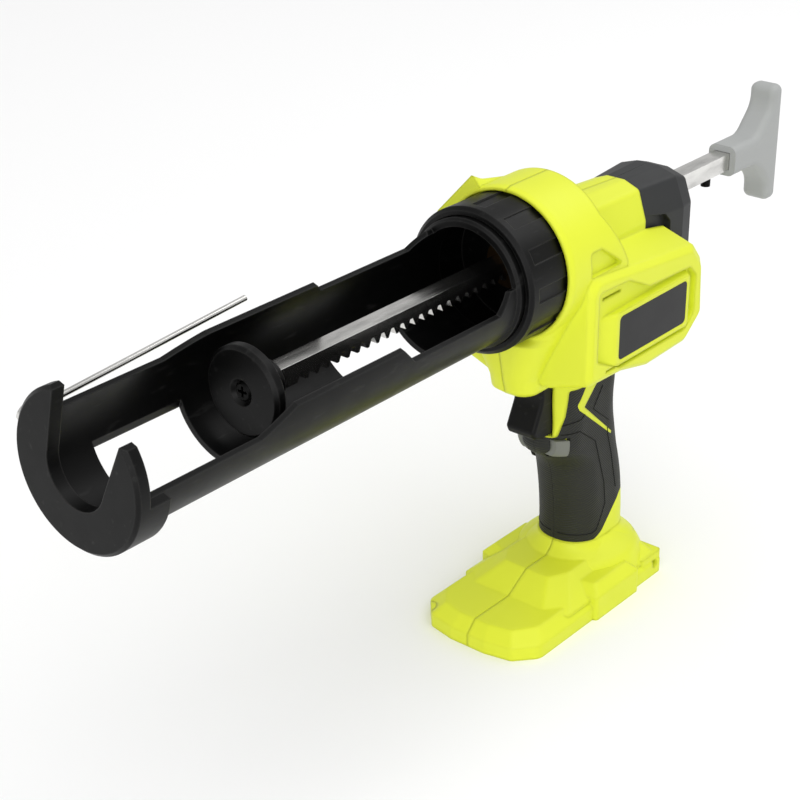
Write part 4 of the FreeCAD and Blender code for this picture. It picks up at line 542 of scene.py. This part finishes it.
class CAULK_OT_shells(bpy.types.Operator):
    """Finish of the lime shells, the dark rear cover and the bare plate"""
    bl_idname = "caulk.shells"
    bl_label = "Shells"

    def execute(self, context):
        tones = context.scene.caulk_colours
        lime = moulded_nylon("Lime moulded nylon", tones.shell, tones.shell_shade, rough=0.44, edge=2.4 * MM)
        dress(lime, "housing_left", "housing_right")
        dark = moulded_nylon("Dark moulded nylon", tones.cover, tinted(tones.cover, 1.25), rough=0.52)
        dress(dark, "rear_cover_left", "rear_cover_right")
        film = moulded_nylon("Satin plate film", tones.plate, tinted(tones.plate, 1.15), rough=0.4,
                             edge=0.2 * MM)
        dress(film, "badge_plate")
        return {"FINISHED"}


class CAULK_OT_foot(bpy.types.Operator):
    """Skirt between the handle and the foot, and the plugs in the foot's screw wells"""
    bl_idname = "caulk.foot"
    bl_label = "Foot"

    def execute(self, context):
        foot = context.scene.caulk_foot
        for side, sign in SIDES.items():
            finish_foot_piece(halve_skirt(foot, sign), f"foot_skirt_{side}")
        finish_foot_piece(draw_heel_plug(foot), "heel_plug")
        finish_foot_piece(draw_toe_plug(), "toe_plug")
        return {"FINISHED"}


class CAULK_OT_grip(bpy.types.Operator):
    """Soft grip skins with their moulded-in lines, drawn as near-black tubes of painted groove shade"""
    bl_idname = "caulk.grip"
    bl_label = "Grip"

    def execute(self, context):
        tones = context.scene.caulk_colours
        grip = context.scene.caulk_grip
        dress(soft_overmould("Soft grip rubber", tones.grip, grip.rib_pitch), "grip_left", "grip_right")
        # The grooves are drawn as near-black tubes: painted shade in place of the grooves' own shadow
        shade = moulded_nylon("Shaded grip groove", tones.grip_groove_shade, tones.grip_groove_shade, rough=0.8)
        for side, sign in SIDES.items():
            lines = []
            for corners in grip_outlines(grip):
                placed = [Vector((point.x, point.y * sign, point.z)) for point in corners]
                lines.append(lay_line(f"grip_{side}", placed, grip.line_radius))
            piece = join_lines(f"painted_groove_shade_{side}", lines)
            piece.data.materials.append(shade)
            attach(piece, "housing")
        return {"FINISHED"}


class CAULK_OT_carriage(bpy.types.Operator):
    """Black carriage, nose, collar, spigot and plunger"""
    bl_idname = "caulk.carriage"
    bl_label = "Carriage"

    def execute(self, context):
        tones = context.scene.caulk_colours
        # The scuffs are wear; the paler edges of this finish are a painted highlight
        black = scuffed_nylon_edge_highlight("Scuffed black nylon with painted edge highlight", tones.carriage, tones.scuff_and_edge_highlight, rough=0.4)
        dress(black, "carriage", "nose_cap", "collar", "carriage_spigot", "plunger")
        return {"FINISHED"}


class CAULK_OT_rod(bpy.types.Operator):
    """Bright rod, wire and pins, the dark screws, the pull handle and the lock-off button"""
    bl_idname = "caulk.rod"
    bl_label = "Push rod"

    def execute(self, context):
        tones = context.scene.caulk_colours
        steel = plated_steel("Zinc plated steel", tones.steel, rough=0.22)
        dress(steel, "rack_rod", "puncture_wire", "wire_pin", "pull_set_screw")
        dark = plated_steel("Black oxide steel", tones.oxide, rough=0.45)
        screws = [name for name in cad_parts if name.startswith("case_screw")]
        dress(dark, "rack_stop_pin", "plunger_screw", *screws)
        pull = moulded_nylon("Light grey nylon", tones.pull, tinted(tones.pull, 0.94), rough=0.5)
        dress(pull, "pull_handle")
        button = moulded_nylon("Mid grey nylon", tones.button, tinted(tones.button, 0.9), rough=0.45)
        dress(button, "lock_off_button")
        return {"FINISHED"}


class CAULK_OT_inside(bpy.types.Operator):
    """Trigger, switch, drive and battery contacts"""
    bl_idname = "caulk.inside"
    bl_label = "Trigger and drive"

    def execute(self, context):
        tones = context.scene.caulk_colours
        # The scuffs are wear; the paler edges of this finish are a painted highlight
        black = scuffed_nylon_edge_highlight("Scuffed trigger nylon with painted edge highlight", tones.trigger, tones.scuff_and_edge_highlight, rough=0.46)
        dress(black, "trigger", "switch_module", "terminal_block")
        gears = bare_metal("Hobbed gear steel", tones.gears, rough=0.35)
        dress(gears, "rack_pinion", "output_gear", "gearbox_output", "pinion_shaft")
        can = bare_metal("Drawn steel can", tones.can, rough=0.35)
        dress(can, "gearbox_case", "motor_can")
        casting = bare_metal("Cast aluminium", tones.casting, rough=0.5)
        dress(casting, "gear_case_left", "gear_case_right")
        bronze = bare_metal("Oiled sintered bronze", tones.bronze, rough=0.55)
        dress(bronze, "front_guide_bush", "rear_guide_bush", "shaft_bush_left", "shaft_bush_right")
        brass = bare_metal("Contact brass", tones.brass, rough=0.3)
        dress(brass, "battery_terminals")
        return {"FINISHED"}


class CAULK_OT_stage(bpy.types.Operator):
    """Floor, soft light and camera"""
    bl_idname = "caulk.stage"
    bl_label = "Stage"

    def execute(self, context):
        stage = context.scene.caulk_stage
        context.scene.view_settings.view_transform = "Standard"
        self.lay_floor(stage)
        self.light_world(context.scene, stage)
        self.hang_lamps(stage)
        self.set_camera(context.scene, stage)
        return {"FINISHED"}

    def lay_floor(self, stage):
        """A wide sheet of paper under the tool."""
        bpy.ops.object.select_all(action="DESELECT")
        bpy.ops.mesh.primitive_plane_add(size=stage.floor_size, location=(0, 0, CAD_BOX[0][2]))
        floor = bpy.context.object
        floor.name = "floor"
        bpy.ops.object.transform_apply(location=True)
        finish = {"Base Color": (*stage.floor, 1), "Roughness": 0.9}
        paper = new_material("Matt white paper", finish)[0]
        floor.data.materials.append(paper)

    def light_world(self, scene, stage):
        """Even light from all round, which the camera sees as bright as the lit floor."""
        world = bpy.data.worlds.new("Studio")
        scene.world = world
        world.use_nodes = True
        tree = world.node_tree
        back = tree.nodes["Background"]
        back.inputs["Color"].default_value = (1, 1, 1, 1)
        path = add_node(tree, "ShaderNodeLightPath")
        seen = spread(tree, path.outputs["Is Camera Ray"], stage.sky, stage.backdrop)
        tree.links.new(seen, back.inputs["Strength"])

    def hang_lamps(self, stage):
        """A broad even key from above that lights the floor alike, and two soft boxes for highlights."""
        key = self.hang_lamp(stage, "key", "SUN", stage.key_from, stage.key_power)
        key.data.angle = stage.key_width
        fill = self.hang_lamp(stage, "fill", "AREA", stage.fill_from, stage.fill_power)
        fill.data.size = stage.fill_size
        back = self.hang_lamp(stage, "back", "AREA", stage.back_from, stage.back_power)
        back.data.size = stage.back_size

    def hang_lamp(self, stage, name, kind, spot, power):
        """A lamp that faces the lit point."""
        bpy.ops.object.select_all(action="DESELECT")
        bpy.ops.object.light_add(type=kind, location=spot)
        lamp = bpy.context.object
        lamp.name = name
        lamp.data.energy = power
        view = Vector(stage.lit_point) - Vector(spot)
        lamp.rotation_euler = view.to_track_quat("-Z", "Y").to_euler()
        return lamp

    def set_camera(self, scene, stage):
        """A long lens in front of the tool and above it, turned a little about its view line."""
        eye = Vector(stage.eye)
        look = (Vector(stage.target) - eye).to_track_quat("-Z", "Y").to_matrix().to_4x4()
        bpy.ops.object.select_all(action="DESELECT")
        bpy.ops.object.camera_add()
        camera = bpy.context.object
        camera.matrix_world = Matrix.Translation(eye) @ look @ Matrix.Rotation(stage.roll, 4, "Z")
        camera.data.lens = stage.lens
        camera.data.sensor_width = stage.sensor
        camera.data.clip_start = 10 * MM
        scene.camera = camera


class CAULK_PT_panel(bpy.types.Panel):
    """Lists the steps and their settings in the sidebar"""
    bl_label = "Caulking tool"
    bl_idname = "CAULK_PT_panel"
    bl_space_type = "VIEW_3D"
    bl_region_type = "UI"
    bl_category = "Caulking tool"

    def draw(self, context):
        for operator in STEPS:
            self.layout.operator(operator.bl_idname)
        for name in GROUPS:
            group = getattr(context.scene, name)
            box = self.layout.box()
            for setting in group.__annotations__:
                box.prop(group, setting)


GROUPS = {"caulk_colours": CaulkColours, "caulk_foot": CaulkFoot, "caulk_grip": CaulkGrip,
          "caulk_stage": CaulkStage}
STEPS = (CAULK_OT_shells, CAULK_OT_foot, CAULK_OT_grip, CAULK_OT_carriage, CAULK_OT_rod, CAULK_OT_inside,
         CAULK_OT_stage)
CLASSES = (*GROUPS.values(), *STEPS, CAULK_PT_panel)


def register():
    for item in CLASSES:
        bpy.utils.register_class(item)
    for name, group in GROUPS.items():
        setattr(bpy.types.Scene, name, bpy.props.PointerProperty(type=group))


def unregister():
    for name in GROUPS:
        delattr(bpy.types.Scene, name)
    for item in reversed(CLASSES):
        bpy.utils.unregister_class(item)


def main():
    register()
    bpy.ops.caulk.shells()
    bpy.ops.caulk.foot()
    bpy.ops.caulk.grip()
    bpy.ops.caulk.carriage()
    bpy.ops.caulk.rod()
    bpy.ops.caulk.inside()
    bpy.ops.caulk.stage()


if __name__ == "__main__":
    main()
